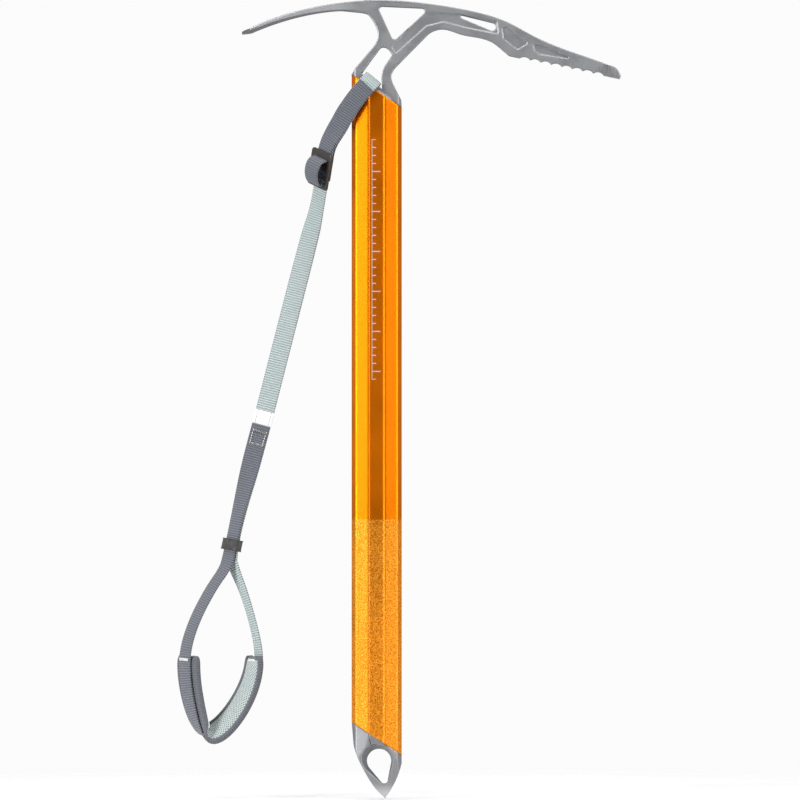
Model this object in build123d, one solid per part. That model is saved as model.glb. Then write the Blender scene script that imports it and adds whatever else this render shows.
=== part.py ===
from build123d import *

import os
from math import ceil, cos, radians, sin, tan

# Ice axe, 50 cm. Millimetres. The shaft runs along Z with the pick towards +X and the adze
# towards -X. The origin is on the shaft's axis, in the middle of its grip zone.
# Head outlines are (x, z) with z measured from the top of the head, and spike outlines are
# (x, z) with z measured up from the tip.

# Overall sizes
OVERALL_LENGTH = 500.0
TIP_BELOW_GRIP = 105.0
HEAD_TOP = OVERALL_LENGTH - TIP_BELOW_GRIP

# Shaft tube
SHAFT_WIDTH = 31.3
SHAFT_DEPTH = 19.0
SHAFT_WALL = 1.5
FLAT_HALF_WIDTH = 4.2
RIDGE_HALF_WIDTH = 5.2
FLAT_RECESS = 0.5
FLANK_INSET = 2.6
FLANK_DROP = 2.4
SIDE_HALF_DEPTH = 3.4
SHAFT_CORNER = 0.8
JOINT_SLOPE = 33.1
HEAD_JOINT_DROP = 57.1
SPIKE_JOINT_RISE = 37.8

# Tangs, bond and pins
BOND_THICKNESS = 0.15
HEAD_TANG_LENGTH = 62.0
SPIKE_TANG_LENGTH = 46.0
TANG_ROOT = 1.0
PIN_RADIUS = 2.0
PIN_FIT = 0.02
PIN_FIRST = 28.0
PIN_PITCH = 14.0
SPIKE_PIN_RISE = 26.0

# Head forging
HEAD_NECK_HALF = 6.4
PICK_TIP_HALF = 1.9
PICK_REACH = 153.0
LEG_HALF = 6.0
FOOT_TOP = 40.0
FOOT_HEIGHT = 80.0
PICK_CLEAR = 1.5
FORGING_HALF = 12.0
WEB_DEPTH = 0.9
POCKET_DEPTH = 0.9
TOOTH_COUNT = 8
TOOTH_DEPTH = 1.5
TEETH_START = (83.1, -35.1)
TEETH_END = (142.2, -47.4)
ADZE_REACH = 84.4
ADZE_WIDTH = 50.0
ADZE_EDGE_RADIUS = 57.0

# Spike forging
SPIKE_TIP_X = 5.2
SPIKE_TIP_HALF = 1.0
SPIKE_SHOULDER = 34.0
EYE_RADIUS = 7.6
EYE_TOE_RADIUS = 2.2
EYE_BEVEL = 3.2
EYE_BEVEL_SHIFT = 1.8
EYE_BEVEL_START = 3.2
SPIKE_HEIGHT = 60.0
SPIKE_SHOULDER_DROP = 0.7

# Webbing, and the strips that touch it
WEB_WIDTH = 12.0
WEB_THICK = 1.2
LAYER_GAP = 0.2
LAYER_PITCH = WEB_THICK + LAYER_GAP
SHAFT_GAP = 0.5
LEG_OUT = SHAFT_DEPTH / 2 + SHAFT_GAP + WEB_THICK / 2
PIVOT_GAP = 1.1
BACK_PIVOT_GAP = 3.8
SADDLE_SIDE_GAP = 1.9
FOLD_ABOVE_BEND = 7.0
LABEL_WIDTH = 10.6
LABEL_LENGTH = 9.5
LABEL_THICK = 0.3
THREAD_THICK = 0.4
TACK_WIDTH = 8.6
TACK_LENGTH = 1.6
FIRST_TACK = 3.6
SECOND_TACK = 11.9
SKIN_GAP = 0.12
PAD_GAP = 0.35

# Buckle
FRAME_WIDTH = 18.0
FRAME_LENGTH = 24.0
FRAME_THICK = 1.6
FRAME_CORNER = 2.0
FRAME_ROUND = 0.5
TOP_BAR = 4.5
UPPER_SLOT = 4.2
MIDDLE_BAR = 3.2
LOWER_BAR = 4.1
SLOT_SIDE_GAP = 0.5
SLIDE_GAP = 0.3
BUCKLE_FROM_BEND = 4.0
TAIL_SHORT = 1.0
BULGE_HEIGHT = 9.5

# Keeper and pad
KEEPER_WALL = 1.2
KEEPER_LENGTH = 7.0
KEEPER_RIB = 0.5
KEEPER_ABOVE_THROAT = 7.4
PAD_WIDTH = 20.0
PAD_SKIN = 0.6
PAD_FOAM = 2.4
BINDING_WIDTH = 1.0
PAD_START = 8.0
PAD_END = 2.0
PAD_TACK_INSET = 2.0

# Strap routes. Each place is (x, y, z, turn, dip): z is measured from the top of the head, turn is
# the angle in degrees that the strap's width swings towards the front, and dip tilts it down.
# Front leg of the head loop, from the pivot up to the saddle.
PIVOT = (-24.0, -7.2, -79.5, 14, 30)
FRONT_LEG = [(-18.4, 1.0 - LEG_OUT, -69.5, 4, 38), (-11.5, -LEG_OUT, -59.5, 0, 40)]
SADDLE_FRONT = (-2.3, -LEG_OUT, -49.7, 0, 40)
SADDLE_BACK = (-2.3, LEG_OUT, -49.7, 0, 40)
BACK_LEG = [(-11.5, LEG_OUT, -59.5, 0, 40), (-19.8, LEG_OUT - 2.6, -70.0, 4, 38)]
# Main strap, from the pivot down to the sewn end.
MAIN_STRAP = [(-30.8, -5.2, -90.4, 46, 0), (-37.8, 10.4, -132.4, 46, 0), (-42.4, 12.4, -149.0, 8, 0)]
SEWN_END = (-72.3, 10.0, -266.0, 0, 0)
DOUBLE_RUN = [(-77.0, 9.0, -283.5, 4, 0), (-86.2, 7.5, -319.5, 51, 0)]
LOOP_THROAT = (-92.3, 6.0, -348.5, 51, 0)
# Wrist loop, down its right side, round the bottom and up its left side.
WRIST_LOOP = [
    (-89.6, 5.8, -355.5, 56, 0),
    (-82.0, 5.0, -374.0, 66, 0),
    (-74.2, 4.0, -403.0, 72, 0),
    (-73.8, 4.0, -418.0, 72, 2),
    (-78.2, 4.0, -433.0, 70, 8),
    (-86.6, 4.0, -448.0, 68, 14),
    (-97.0, 4.0, -459.5, 67, 20),
    (-106.2, 4.0, -463.0, 66, 24),
    (-112.6, 4.0, -457.0, 60, 14),
    (-117.0, 4.0, -443.0, 55, 4),
    (-120.2, 4.0, -425.0, 53, 0),
    (-120.4, 4.0, -408.0, 53, 0),
    (-114.6, 4.5, -389.0, 53, 0),
    (-104.2, 5.3, -369.0, 52, 0),
    (-95.0, 5.9, -356.0, 51, 0),
]
# Which place of the whole leash route is which.
SEWN_PLACE = 1 + len(MAIN_STRAP)
THROAT_PLACE = SEWN_PLACE + 1 + len(DOUBLE_RUN)
PAD_START_PLACE = THROAT_PLACE + 3
PAD_END_PLACE = THROAT_PLACE + 12

ARC_SHARE = 0.45
ARC_STEP = 7.0
TWIST_STEP = 3.0
STATION_GAP = 0.3


def on_side(sketch, z):
    """A sketch drawn as (x, z) stands on the XZ plane, moved up to z."""
    return Pos(0, 0, z) * (Plane.XZ * sketch)


def slab(sketch, z, half):
    """A plate of the given side shape, the same distance to both sides of the middle plane."""
    return extrude(on_side(sketch, z), amount=half, both=True)


def joint_plane(z):
    """The slanted cut across the shaft that passes through its axis at height z."""
    lean = radians(JOINT_SLOPE)
    return Plane(origin=(0, 0, z), x_dir=(0, 1, 0), z_dir=(sin(lean), 0, cos(lean)))


def above(solid, plane):
    return split(solid, bisect_by=plane, keep=Keep.TOP)


def below(solid, plane):
    return split(solid, bisect_by=plane, keep=Keep.BOTTOM)


def shaft_section(inset=0.0):
    """The faceted section: a shallow flat between two ridges, sloping flanks and narrow sides."""
    half_width = SHAFT_WIDTH / 2
    half_depth = SHAFT_DEPTH / 2
    quarter = [
        (FLAT_HALF_WIDTH, half_depth - FLAT_RECESS),
        (RIDGE_HALF_WIDTH, half_depth),
        (half_width - FLANK_INSET, half_depth - FLANK_DROP),
        (half_width, SIDE_HALF_DEPTH),
    ]
    right = quarter + [(x, -y) for x, y in reversed(quarter)]
    outline = right + [(-x, y) for x, y in reversed(right)]
    face = make_face(Polyline(*outline, close=True))
    outer = [v for v in face.vertices() if abs(v.X) > half_width - FLANK_INSET - 0.1]
    face = fillet(outer, SHAFT_CORNER)
    if inset:
        face = offset(face, amount=-inset, kind=Kind.INTERSECTION)
    return face


def prism(inset, low, high):
    return extrude(Pos(0, 0, low) * shaft_section(inset), amount=high - low)


HEAD_JOINT = HEAD_TOP - HEAD_JOINT_DROP
SPIKE_TIP = -TIP_BELOW_GRIP
SPIKE_JOINT = SPIKE_TIP + SPIKE_JOINT_RISE
JOINT_SPREAD = SHAFT_WIDTH / 2 * tan(radians(JOINT_SLOPE))
HEAD_TANG_END = HEAD_JOINT - HEAD_TANG_LENGTH
SPIKE_TANG_END = SPIKE_JOINT + SPIKE_TANG_LENGTH


def cross_pin(z, grow=0.0):
    """A pin through the narrow sides of the shaft, trimmed to lie flush with them."""
    rod = Pos(0, 0, z) * (Rot(0, 90, 0) * Cylinder(PIN_RADIUS + grow, SHAFT_WIDTH + 2 * PIN_RADIUS))
    if grow:
        return rod
    return rod & prism(0, z - 3 * PIN_RADIUS, z + 3 * PIN_RADIUS)


def head_pin_heights():
    return [HEAD_JOINT - PIN_FIRST - i * PIN_PITCH for i in range(2)]


def spike_pin_heights():
    return [SPIKE_JOINT + SPIKE_PIN_RISE]


def drill(solid, heights):
    for z in heights:
        solid = solid - cross_pin(z, PIN_FIT)
    return solid


def make_shaft():
    tube = prism(0, SPIKE_TIP, HEAD_TOP) - prism(SHAFT_WALL, SPIKE_TIP, HEAD_TOP)
    tube = below(tube, joint_plane(HEAD_JOINT))
    tube = above(tube, joint_plane(SPIKE_JOINT))
    return drill(tube, head_pin_heights() + spike_pin_heights())


def make_head_bond():
    film = prism(SHAFT_WALL, HEAD_TANG_END, HEAD_TOP)
    film = film - prism(SHAFT_WALL + BOND_THICKNESS, HEAD_TANG_END, HEAD_TOP)
    return drill(below(film, joint_plane(HEAD_JOINT)), head_pin_heights())


def make_spike_bond():
    film = prism(SHAFT_WALL, SPIKE_TIP, SPIKE_TANG_END)
    film = film - prism(SHAFT_WALL + BOND_THICKNESS, SPIKE_TIP, SPIKE_TANG_END)
    return drill(above(film, joint_plane(SPIKE_JOINT)), spike_pin_heights())


def tooth_line():
    """Rounded hollows between pointed teeth, from the pick's tip back towards the shaft."""
    first = Vector(*TEETH_END)
    last = Vector(*TEETH_START)
    step = (last - first) / (TOOTH_COUNT + 1)
    lift = Vector(step.Y, -step.X).normalized() * TOOTH_DEPTH
    edges = []
    for i in range(TOOTH_COUNT + 1):
        start = first + step * i
        end = start + step
        if i < TOOTH_COUNT:
            edges.append(ThreePointArc(start, (start + end) / 2 + lift, end))
        else:
            edges.append(Line(start, end))
    return edges


def head_outline():
    """Side view of the forging without the adze's blade, as one closed face."""
    half = SHAFT_WIDTH / 2
    foot_left = (-half, -HEAD_JOINT_DROP + JOINT_SPREAD)
    foot_right = (half, -HEAD_JOINT_DROP - JOINT_SPREAD)
    edges = [
        Spline((-22, -1.5), (0, 0), (33, -2.4), (60, -7), (80, -13), tangents=((1, 0.1), (1, -0.42))),
        Spline((80, -13), (98, -22.4), (120, -31.7), (148, -41.3), tangents=((1, -0.42), (1, -0.34))),
        ThreePointArc((148, -41.3), (151.9, -44.8), (PICK_REACH, -48)),
        Line((PICK_REACH, -48), (152.2, -49.6)),
        Line((152.2, -49.6), TEETH_END),
        *tooth_line(),
        Spline(TEETH_START, (72, -26.3), (56.5, -22.4), tangents=((-1, 0.75), (-1, 0.16))),
        Spline((56.5, -22.4), (40.5, -18.3), (32, -21.8), tangents=((-1, 0.2), (-1, -0.95))),
        Line((32, -21.8), (13, -41)),
        Spline((13, -41), (9.2, -47.6), (11, -54), tangents=((-1, -1), (0.5, -1))),
        Line((11, -54), (half - 0.2, -62.8)),
        Line((half - 0.2, -62.8), foot_right),
        Line(foot_right, foot_left),
        Line(foot_left, (-13.6, -43)),
        Line((-13.6, -43), (-2.6, -30)),
        Spline((-2.6, -30), (0.8, -21), (-4.2, -10.4), (-10, -7.9), tangents=((1, 1.2), (-1, 0.12))),
        Line((-10, -7.9), (-22, -6.7)),
        Line((-22, -6.7), (-22, -1.5)),
    ]
    return make_face(edges)


def rounded(points, radius):
    face = make_face(Polyline(*points, close=True))
    return fillet(face.vertices(), radius)


def brace_window():
    return rounded([(0.4, -3.9), (33, -5.4), (10.6, -26)], 2.0)


def leash_window():
    """The slot that the leash passes through. Its lower side is the saddle."""
    saddle = Vector(-2.95, -50.9)
    along = Vector(12.7, -9.4).normalized() * (WEB_WIDTH / 2 + SADDLE_SIDE_GAP)
    left, right = saddle - along, saddle + along
    edges = [
        Line(left, (-7.4, -43.4)),
        Line((-7.4, -43.4), (1.4, -31.4)),
        Spline((1.4, -31.4), (5.6, -29.8), (9.3, -34.2), (7.6, -37.6), tangents=((0.6, 1), (-0.6, -1))),
        Spline((7.6, -37.6), (3.9, -43.4), (2.9, -48.6), tangents=((-0.7, -1), (-0.05, -1))),
        Line((2.9, -48.6), right),
        Line(right, left),
    ]
    return make_face(edges)


def pick_slot():
    big = Pos(72.2, -16.8) * Circle(2.4)
    small = Pos(53.4, -10.6) * Circle(0.9)
    return make_hull((big + small).edges())


def pockets():
    first = rounded([(78.4, -17.6), (81.6, -17.0), (94.8, -27.2), (88.2, -31.2), (79.2, -24.2)], 0.9)
    second = rounded([(98.0, -28.2), (102.0, -28.0), (122.6, -37.0), (102.0, -34.0), (98.8, -31.8)], 0.4)
    return [first, second]


def web_panel():
    """The flat between the top rail and the lower flange, from the braces out along the pick."""
    upper = [(28, -7.6), (52, -8.9), (75.4, -13.6), (76.2, -21.4)]
    return rounded(upper + [(56, -17.4), (42, -13.6), (31, -16.4), (12, -33.6), (9.5, -30)], 0.8)


def thickness_wedge():
    """Limits the forging to a thick middle that thins out along the pick."""
    plan = [(-30, HEAD_NECK_HALF), (24, HEAD_NECK_HALF), (80, 4.2), (PICK_REACH + 5, PICK_TIP_HALF)]
    plan = plan + [(x, -y) for x, y in reversed(plan)]
    face = Pos(0, 0, HEAD_TOP - FOOT_HEIGHT) * make_face(Polyline(*plan, close=True))
    return extrude(face, amount=FOOT_HEIGHT + 10)


def height_wedge():
    """Limits the forging to the shaft's depth at its foot and to slim legs above it."""
    deep = SHAFT_DEPTH / 2
    front = [(-deep, -FOOT_HEIGHT), (-deep, -54), (-LEG_HALF - 1, -44), (-LEG_HALF, -36), (-LEG_HALF, 5)]
    front = front + [(-y, z) for y, z in reversed(front)]
    face = Plane.YZ * make_face(Polyline(*front, close=True))
    return Pos(-40, 0, HEAD_TOP) * extrude(face, amount=240)


def adze_section(x, drop, lean, half_width, thick, crown, hollow):
    """One section across the blade: a crowned top and a hollow underside, square to the blade."""
    over = ThreePointArc((-half_width, -crown), (0, 0), (half_width, -crown))
    low = -thick - hollow
    under = ThreePointArc((half_width, low), (0, -thick), (-half_width, low))
    right = Line((half_width, -crown), (half_width, low))
    left = Line((-half_width, low), (-half_width, -crown))
    angle = radians(lean)
    facing = (-cos(angle), 0, -sin(angle))
    across_blade = Plane(origin=(x, 0, HEAD_TOP + drop), x_dir=(0, -1, 0), z_dir=facing)
    return across_blade * make_face([over, right, under, left])


def make_adze():
    """The blade widens evenly from the neck and its cutting edge bows outwards."""
    places = [
        (-8, -0.3, -1, 6.0, 7.0, 0.2, 0.15),
        (-20, -1.2, 6, 7.6, 5.2, 0.3, 0.2),
        (-34, -3.3, 10, 11.4, 3.9, 0.6, 0.3),
        (-51, -7.1, 15, 16.2, 3.0, 0.9, 0.5),
        (-68, -12.6, 21, 21.4, 2.3, 1.2, 0.7),
        (-ADZE_REACH - 1, -20.4, 25, ADZE_WIDTH / 2 + 0.6, 1.4, 1.3, 0.9),
    ]
    blade = loft([adze_section(*place) for place in places])
    edge_centre = -ADZE_REACH + ADZE_EDGE_RADIUS
    trim = Pos(edge_centre, 0, HEAD_TOP) * Cylinder(ADZE_EDGE_RADIUS, FOOT_HEIGHT)
    return blade & trim


def make_tang(joint, end, keep):
    low, high = min(joint, end), max(joint, end)
    reach = JOINT_SPREAD + TANG_ROOT
    if end < joint:
        return keep(prism(SHAFT_WALL + BOND_THICKNESS, low, high + reach), joint_plane(joint + TANG_ROOT))
    return keep(prism(SHAFT_WALL + BOND_THICKNESS, low - reach, high), joint_plane(joint - TANG_ROOT))


def foot_limit():
    """Keeps the foot inside the shaft's outline, and leaves the pick and the top of the head free."""
    foot_line = HEAD_TOP - FOOT_TOP
    foot = prism(0, HEAD_TOP - FOOT_HEIGHT, foot_line)
    standing = (Align.CENTER, Align.CENTER, Align.MIN)
    top = Pos(0, 0, foot_line) * Box(2 * PICK_REACH + 20, 2 * SHAFT_DEPTH, FOOT_TOP + 10, align=standing)
    corner = Pos(SHAFT_WIDTH / 2 + PICK_CLEAR, 0, HEAD_TOP - FOOT_HEIGHT)
    pick = corner * Box(PICK_REACH, 2 * SHAFT_DEPTH, FOOT_HEIGHT, align=(Align.MIN, Align.CENTER, Align.MIN))
    return foot + top + pick


def side_recess(sketch, depth):
    """What to take from both faces so that a panel lies the given depth below them."""
    through = slab(sketch, HEAD_TOP, FORGING_HALF)
    half_space = Box(4 * PICK_REACH, 2 * SHAFT_DEPTH, 4 * FOOT_HEIGHT)
    sides = []
    for side in (1, -1):
        kept = Pos(0, side * depth, 0) * thickness_wedge()
        other_half = Pos(0, side * SHAFT_DEPTH, HEAD_TOP) * half_space
        sides.append(through - kept - other_half)
    return sides


def make_head():
    plate = slab(head_outline(), HEAD_TOP, FORGING_HALF)
    plate = plate & thickness_wedge()
    plate = plate & height_wedge()
    plate = plate & foot_limit()
    body = plate + make_adze()
    for window in (brace_window(), leash_window(), pick_slot()):
        body = body - slab(window, HEAD_TOP, FORGING_HALF)
    for recess in side_recess(web_panel(), WEB_DEPTH):
        body = body - recess
    for pocket in pockets():
        for recess in side_recess(pocket, POCKET_DEPTH):
            body = body - recess
    body = body + make_tang(HEAD_JOINT, HEAD_TANG_END, below)
    return drill(body, head_pin_heights())


def spike_outline():
    half = SHAFT_WIDTH / 2
    joint_left = (-half, SPIKE_JOINT_RISE + JOINT_SPREAD)
    joint_right = (half, SPIKE_JOINT_RISE - JOINT_SPREAD)
    tip = (SPIKE_TIP_X, 0)
    edges = [
        Line(joint_left, (-half + 1.2, SPIKE_SHOULDER)),
        Spline((-half + 1.2, SPIKE_SHOULDER), (-8, 17.9), (0.8, 4.6), tip, tangents=((0.2, -1), (0.75, -1))),
        Spline(tip, (9.3, 6.4), (12.6, 13), (half, 22.3), tangents=((0.6, 1), (0.25, 1))),
        Line((half, 22.3), joint_right),
        Line(joint_right, joint_left),
    ]
    return make_face(edges)


def spike_eye(grow=0.0):
    top = Pos(1.5, 23.7) * Circle(EYE_RADIUS + grow)
    toe = Pos(4.7, 11.6) * Circle(EYE_TOE_RADIUS + grow)
    return make_hull((top + toe).edges())


def make_spike():
    deep = SHAFT_DEPTH / 2
    half_depth = [(SPIKE_TIP_HALF, -2), (SPIKE_TIP_HALF, 0), (3.6, 9), (6.6, 20)]
    half_depth = half_depth + [(deep - SPIKE_SHOULDER_DROP, 32), (deep, 42)]
    half_depth = half_depth + [(deep, SPIKE_HEIGHT)]
    front = half_depth + [(-y, z) for y, z in reversed(half_depth)]
    wedge = Plane.YZ * make_face(Polyline(*front, close=True))
    body = slab(spike_outline(), SPIKE_TIP, FORGING_HALF)
    body = body & Pos(-SHAFT_WIDTH, 0, SPIKE_TIP) * extrude(wedge, amount=2 * SHAFT_WIDTH)
    body = body & prism(0, SPIKE_TIP - 1, SPIKE_TIP + SPIKE_HEIGHT)
    body = body - slab(spike_eye(), SPIKE_TIP, FORGING_HALF)
    for side in (1, -1):
        narrow = Plane.XZ.offset(side * EYE_BEVEL_START) * spike_eye(SKIN_GAP)
        wide = Plane.XZ.offset(side * deep) * (Pos(-EYE_BEVEL_SHIFT, 0) * spike_eye(EYE_BEVEL))
        body = body - Pos(0, 0, SPIKE_TIP) * loft([narrow, wide])
    body = body + make_tang(SPIKE_JOINT, SPIKE_TANG_END, above)
    return drill(body, spike_pin_heights())


def place_vector(place):
    return Vector(*place[:3])


def square_to(tangent, turn, dip):
    """Width direction and face normal of a strap that runs along the tangent."""
    level = cos(radians(dip))
    lead = Vector(cos(radians(turn)) * level, -sin(radians(turn)) * level, -sin(radians(dip)))
    across = (lead - tangent * lead.dot(tangent)).normalized()
    return across, across.cross(tangent)


def layer(places, shift):
    """The same places moved along the strap's own normal, for a layer beside the middle one."""
    moved = []
    for i, place in enumerate(places):
        before = place_vector(places[max(i - 1, 0)])
        after = place_vector(places[min(i + 1, len(places) - 1)])
        normal = square_to((after - before).normalized(), place[3], place[4])[1]
        point = place_vector(place) + normal * shift
        moved.append((point.X, point.Y, point.Z, place[3], place[4]))
    return moved


def bend_radii(points):
    """The radius at each inner place, from the bend there and the shorter run beside it."""
    radii = []
    for before, here, after in zip(points, points[1:], points[2:]):
        turn = (here - before).get_angle(after - here)
        shorter = min((here - before).length, (after - here).length)
        radii.append(ARC_SHARE * shorter / tan(radians(turn / 2)))
    return radii


def stations(places, name):
    """Centre, width direction, normal and distance along, wherever the strap bends or twists."""
    points = [place_vector(place) for place in places]
    radii = bend_radii(points)
    path = FilletPolyline(*points, radius=radii)
    print(name, "length", round(path.length, 1), "radii", [round(r, 1) for r in radii])
    ends, marks = ends_and_marks(path)
    found = []
    for start, end, edge in zip(ends, ends[1:], path.edges()):
        count = step_count(edge, angles_at(marks, places, start), angles_at(marks, places, end))
        found += [start + edge.length * k / count for k in range(count)]
    found.append(ends[-1])
    return [station(path, places, marks, at) for at in found], marks


def ends_and_marks(path):
    """Distances along to the ends of every edge, and to the places that the path was drawn with."""
    marks = [0.0]
    ends = [0.0]
    for edge in path.edges():
        if edge.geom_type != GeomType.LINE:
            marks.append(ends[-1] + edge.length / 2)
        ends.append(ends[-1] + edge.length)
    marks.append(ends[-1])
    return ends, marks


def step_count(edge, before, after):
    twist = max(abs(b - a) for a, b in zip(before, after)) / TWIST_STEP
    bend = 0.0
    if edge.geom_type != GeomType.LINE:
        bend = (edge % 0).get_angle(edge % 1) / ARC_STEP
    return max(1, ceil(max(twist, bend)))


def angles_at(marks, places, at):
    for i in range(len(marks) - 1):
        if at <= marks[i + 1] + 1e-6:
            share = (at - marks[i]) / (marks[i + 1] - marks[i])
            here, after = places[i], places[i + 1]
            return here[3] + share * (after[3] - here[3]), here[4] + share * (after[4] - here[4])
    return places[-1][3], places[-1][4]


def station(path, places, marks, at):
    share = min(max(at / path.length, 0.0), 1.0)
    tangent = path % share
    across, normal = square_to(tangent, *angles_at(marks, places, at))
    return {"at": at, "centre": path @ share, "across": across, "normal": normal, "along": tangent}


def between(route, start, end):
    """The part of a route from one distance to another, with a station at each end."""
    kept = [s for s in route if start + STATION_GAP < s["at"] < end - STATION_GAP]
    return [mixed(route, start)] + kept + [mixed(route, end)]


def mixed(route, at):
    for here, after in zip(route, route[1:]):
        if at <= after["at"] + 1e-6:
            share = (at - here["at"]) / (after["at"] - here["at"])
            blend = {key: here[key] + (after[key] - here[key]) * share for key in here}
            blend["across"] = blend["across"].normalized()
            blend["along"] = blend["across"].cross(blend["normal"]).normalized() * -1
            blend["normal"] = blend["across"].cross(blend["along"])
            return blend
    return route[-1]


def strip(route, width, thick, lift=0.0, aside=0.0):
    """A flat band along a route, as a closed shell of triangles between its stations."""
    rings = []
    for s in route:
        middle = s["centre"] + s["normal"] * lift + s["across"] * aside
        wide = s["across"] * (width / 2)
        deep = s["normal"] * (thick / 2)
        rings.append([middle - wide - deep, middle + wide - deep, middle + wide + deep, middle - wide + deep])
    faces = [triangle(rings[0][0], rings[0][1], rings[0][2]), triangle(rings[0][0], rings[0][2], rings[0][3])]
    last = rings[-1]
    faces += [triangle(last[0], last[2], last[1]), triangle(last[0], last[3], last[2])]
    for ring, other in zip(rings, rings[1:]):
        for i, j in ((0, 1), (1, 2)):
            faces.append(triangle(ring[i], other[i], other[j]))
            faces.append(triangle(ring[i], other[j], ring[j]))
        for i, j in ((2, 3), (3, 0)):
            faces.append(triangle(ring[i], other[i], ring[j]))
            faces.append(triangle(other[i], other[j], ring[j]))
    return Solid(Shell(faces))


def triangle(a, b, c):
    return Face(Wire.make_polygon([a, b, c], close=True))


def local_frame(route, at, lift=0.0):
    """A plane on the strap: x across it, y along its normal and z back up along it."""
    s = mixed(route, at)
    return Plane(origin=s["centre"] + s["normal"] * lift, x_dir=s["across"], z_dir=s["along"] * -1)


def export(name, *solids):
    piece = solids[0] if len(solids) == 1 else Compound(children=list(solids))
    piece.label = name
    export_step(piece, f"parts/{name}.step")


def export_on_leash(name, *solids):
    """The leash is laid out from the top of the head, so its pieces move up by that much."""
    export(name, *[Pos(0, 0, HEAD_TOP) * solid for solid in solids])


def build_axe():
    export("head", make_head())
    export("shaft", make_shaft())
    export("spike", make_spike())
    export("head_bond", make_head_bond())
    export("spike_bond", make_spike_bond())
    export("head_pins", *[cross_pin(z) for z in head_pin_heights()])
    export("spike_pin", *[cross_pin(z) for z in spike_pin_heights()])


def build_head_loop():
    """The light leg over the saddle, down the back to the pivot, and the dark layer in front."""
    upward = (place_vector(FRONT_LEG[0]) - place_vector(PIVOT)).normalized()
    facing = square_to(upward, PIVOT[3], PIVOT[4])[1]
    end = place_vector(PIVOT) - facing * LAYER_PITCH
    back_end = (end.X, end.Y, end.Z, PIVOT[3], PIVOT[4])
    places = [PIVOT] + FRONT_LEG + [SADDLE_FRONT, SADDLE_BACK] + BACK_LEG + [back_end]
    route, marks = stations(places, "head loop")
    loop = between(route, PIVOT_GAP, marks[-1] - BACK_PIVOT_GAP)
    export_on_leash("head_loop_webbing", strip(loop, WEB_WIDTH, WEB_THICK))
    over = between(route, PIVOT_GAP, marks[2] + FOLD_ABOVE_BEND)
    export_on_leash("front_webbing", strip(over, WEB_WIDTH, WEB_THICK, LAYER_PITCH))


def build_leash():
    """The long webbing, from the pivot through the sewn end, round the wrist and back."""
    shared = [SEWN_END] + DOUBLE_RUN + [LOOP_THROAT]
    half = LAYER_PITCH / 2
    front_layer = list(reversed(layer(shared, -half)))
    places = [PIVOT] + MAIN_STRAP + layer(shared, half) + WRIST_LOOP + front_layer
    route, marks = stations(places, "leash webbing")
    export_on_leash("leash_webbing", strip(between(route, PIVOT_GAP, marks[-1]), WEB_WIDTH, WEB_THICK))
    return route, marks


def build_buckle(route, marks):
    """The tri-glide lies in front of three flat layers and carries the bulge of the front one."""
    top = marks[1] + BUCKLE_FROM_BEND
    tail_end = top + FRAME_LENGTH - LOWER_BAR - TAIL_SHORT
    tail = between(route, PIVOT_GAP, tail_end)
    export_on_leash("front_webbing_tail", strip(tail, WEB_WIDTH, WEB_THICK, -LAYER_PITCH))
    export_on_leash("back_webbing_tail", strip(tail, WEB_WIDTH, WEB_THICK, LAYER_PITCH))
    here = local_frame(route, top + FRAME_LENGTH / 2).location
    export_on_leash("buckle_frame", here * make_frame())
    export_on_leash("buckle_bulge", here * make_bulge())


def frame_back():
    """How far in front of the strap's middle layer the frame's back face lies."""
    return LAYER_PITCH + WEB_THICK / 2 + SLIDE_GAP


def make_frame():
    half = FRAME_LENGTH / 2
    slot_width = WEB_WIDTH + 2 * SLOT_SIDE_GAP
    plate = RectangleRounded(FRAME_WIDTH, FRAME_LENGTH, FRAME_CORNER)
    upper_middle = half - TOP_BAR - UPPER_SLOT / 2
    lower_middle = -half + LOWER_BAR + lower_slot() / 2
    plate = plate - Pos(0, upper_middle) * RectangleRounded(slot_width, UPPER_SLOT, FRAME_ROUND)
    plate = plate - Pos(0, lower_middle) * RectangleRounded(slot_width, lower_slot(), FRAME_ROUND)
    solid = extrude(Plane.XZ * plate, amount=FRAME_THICK)
    solid = Pos(0, -frame_back(), 0) * solid
    faces = solid.faces().filter_by(Axis.Y)
    return fillet(faces.edges(), FRAME_ROUND)


def lower_slot():
    return FRAME_LENGTH - TOP_BAR - UPPER_SLOT - MIDDLE_BAR - LOWER_BAR


def make_bulge():
    """A slack fold of webbing that leaves the upper slot and goes back in at the lower one."""
    near = -frame_back() - SLIDE_GAP / 2
    upper = FRAME_LENGTH / 2 - TOP_BAR - SLIDE_GAP - WEB_THICK / 2
    lower = -FRAME_LENGTH / 2 + LOWER_BAR + SLIDE_GAP + WEB_THICK / 2
    out = near - FRAME_THICK
    tip = near - BULGE_HEIGHT
    fold = [(near, upper), (out - 2.2, upper - 0.3), (tip + 1.6, upper - 4.2), (tip, upper - 9.5)]
    fold = fold + [(tip + 2.6, lower - 2.4), (out - 1.8, lower - 0.2), (near, lower)]
    route = stations([(0, y, z, 0, 0) for y, z in fold], "buckle bulge")[0]
    return strip(route, WEB_WIDTH, WEB_THICK)


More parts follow.
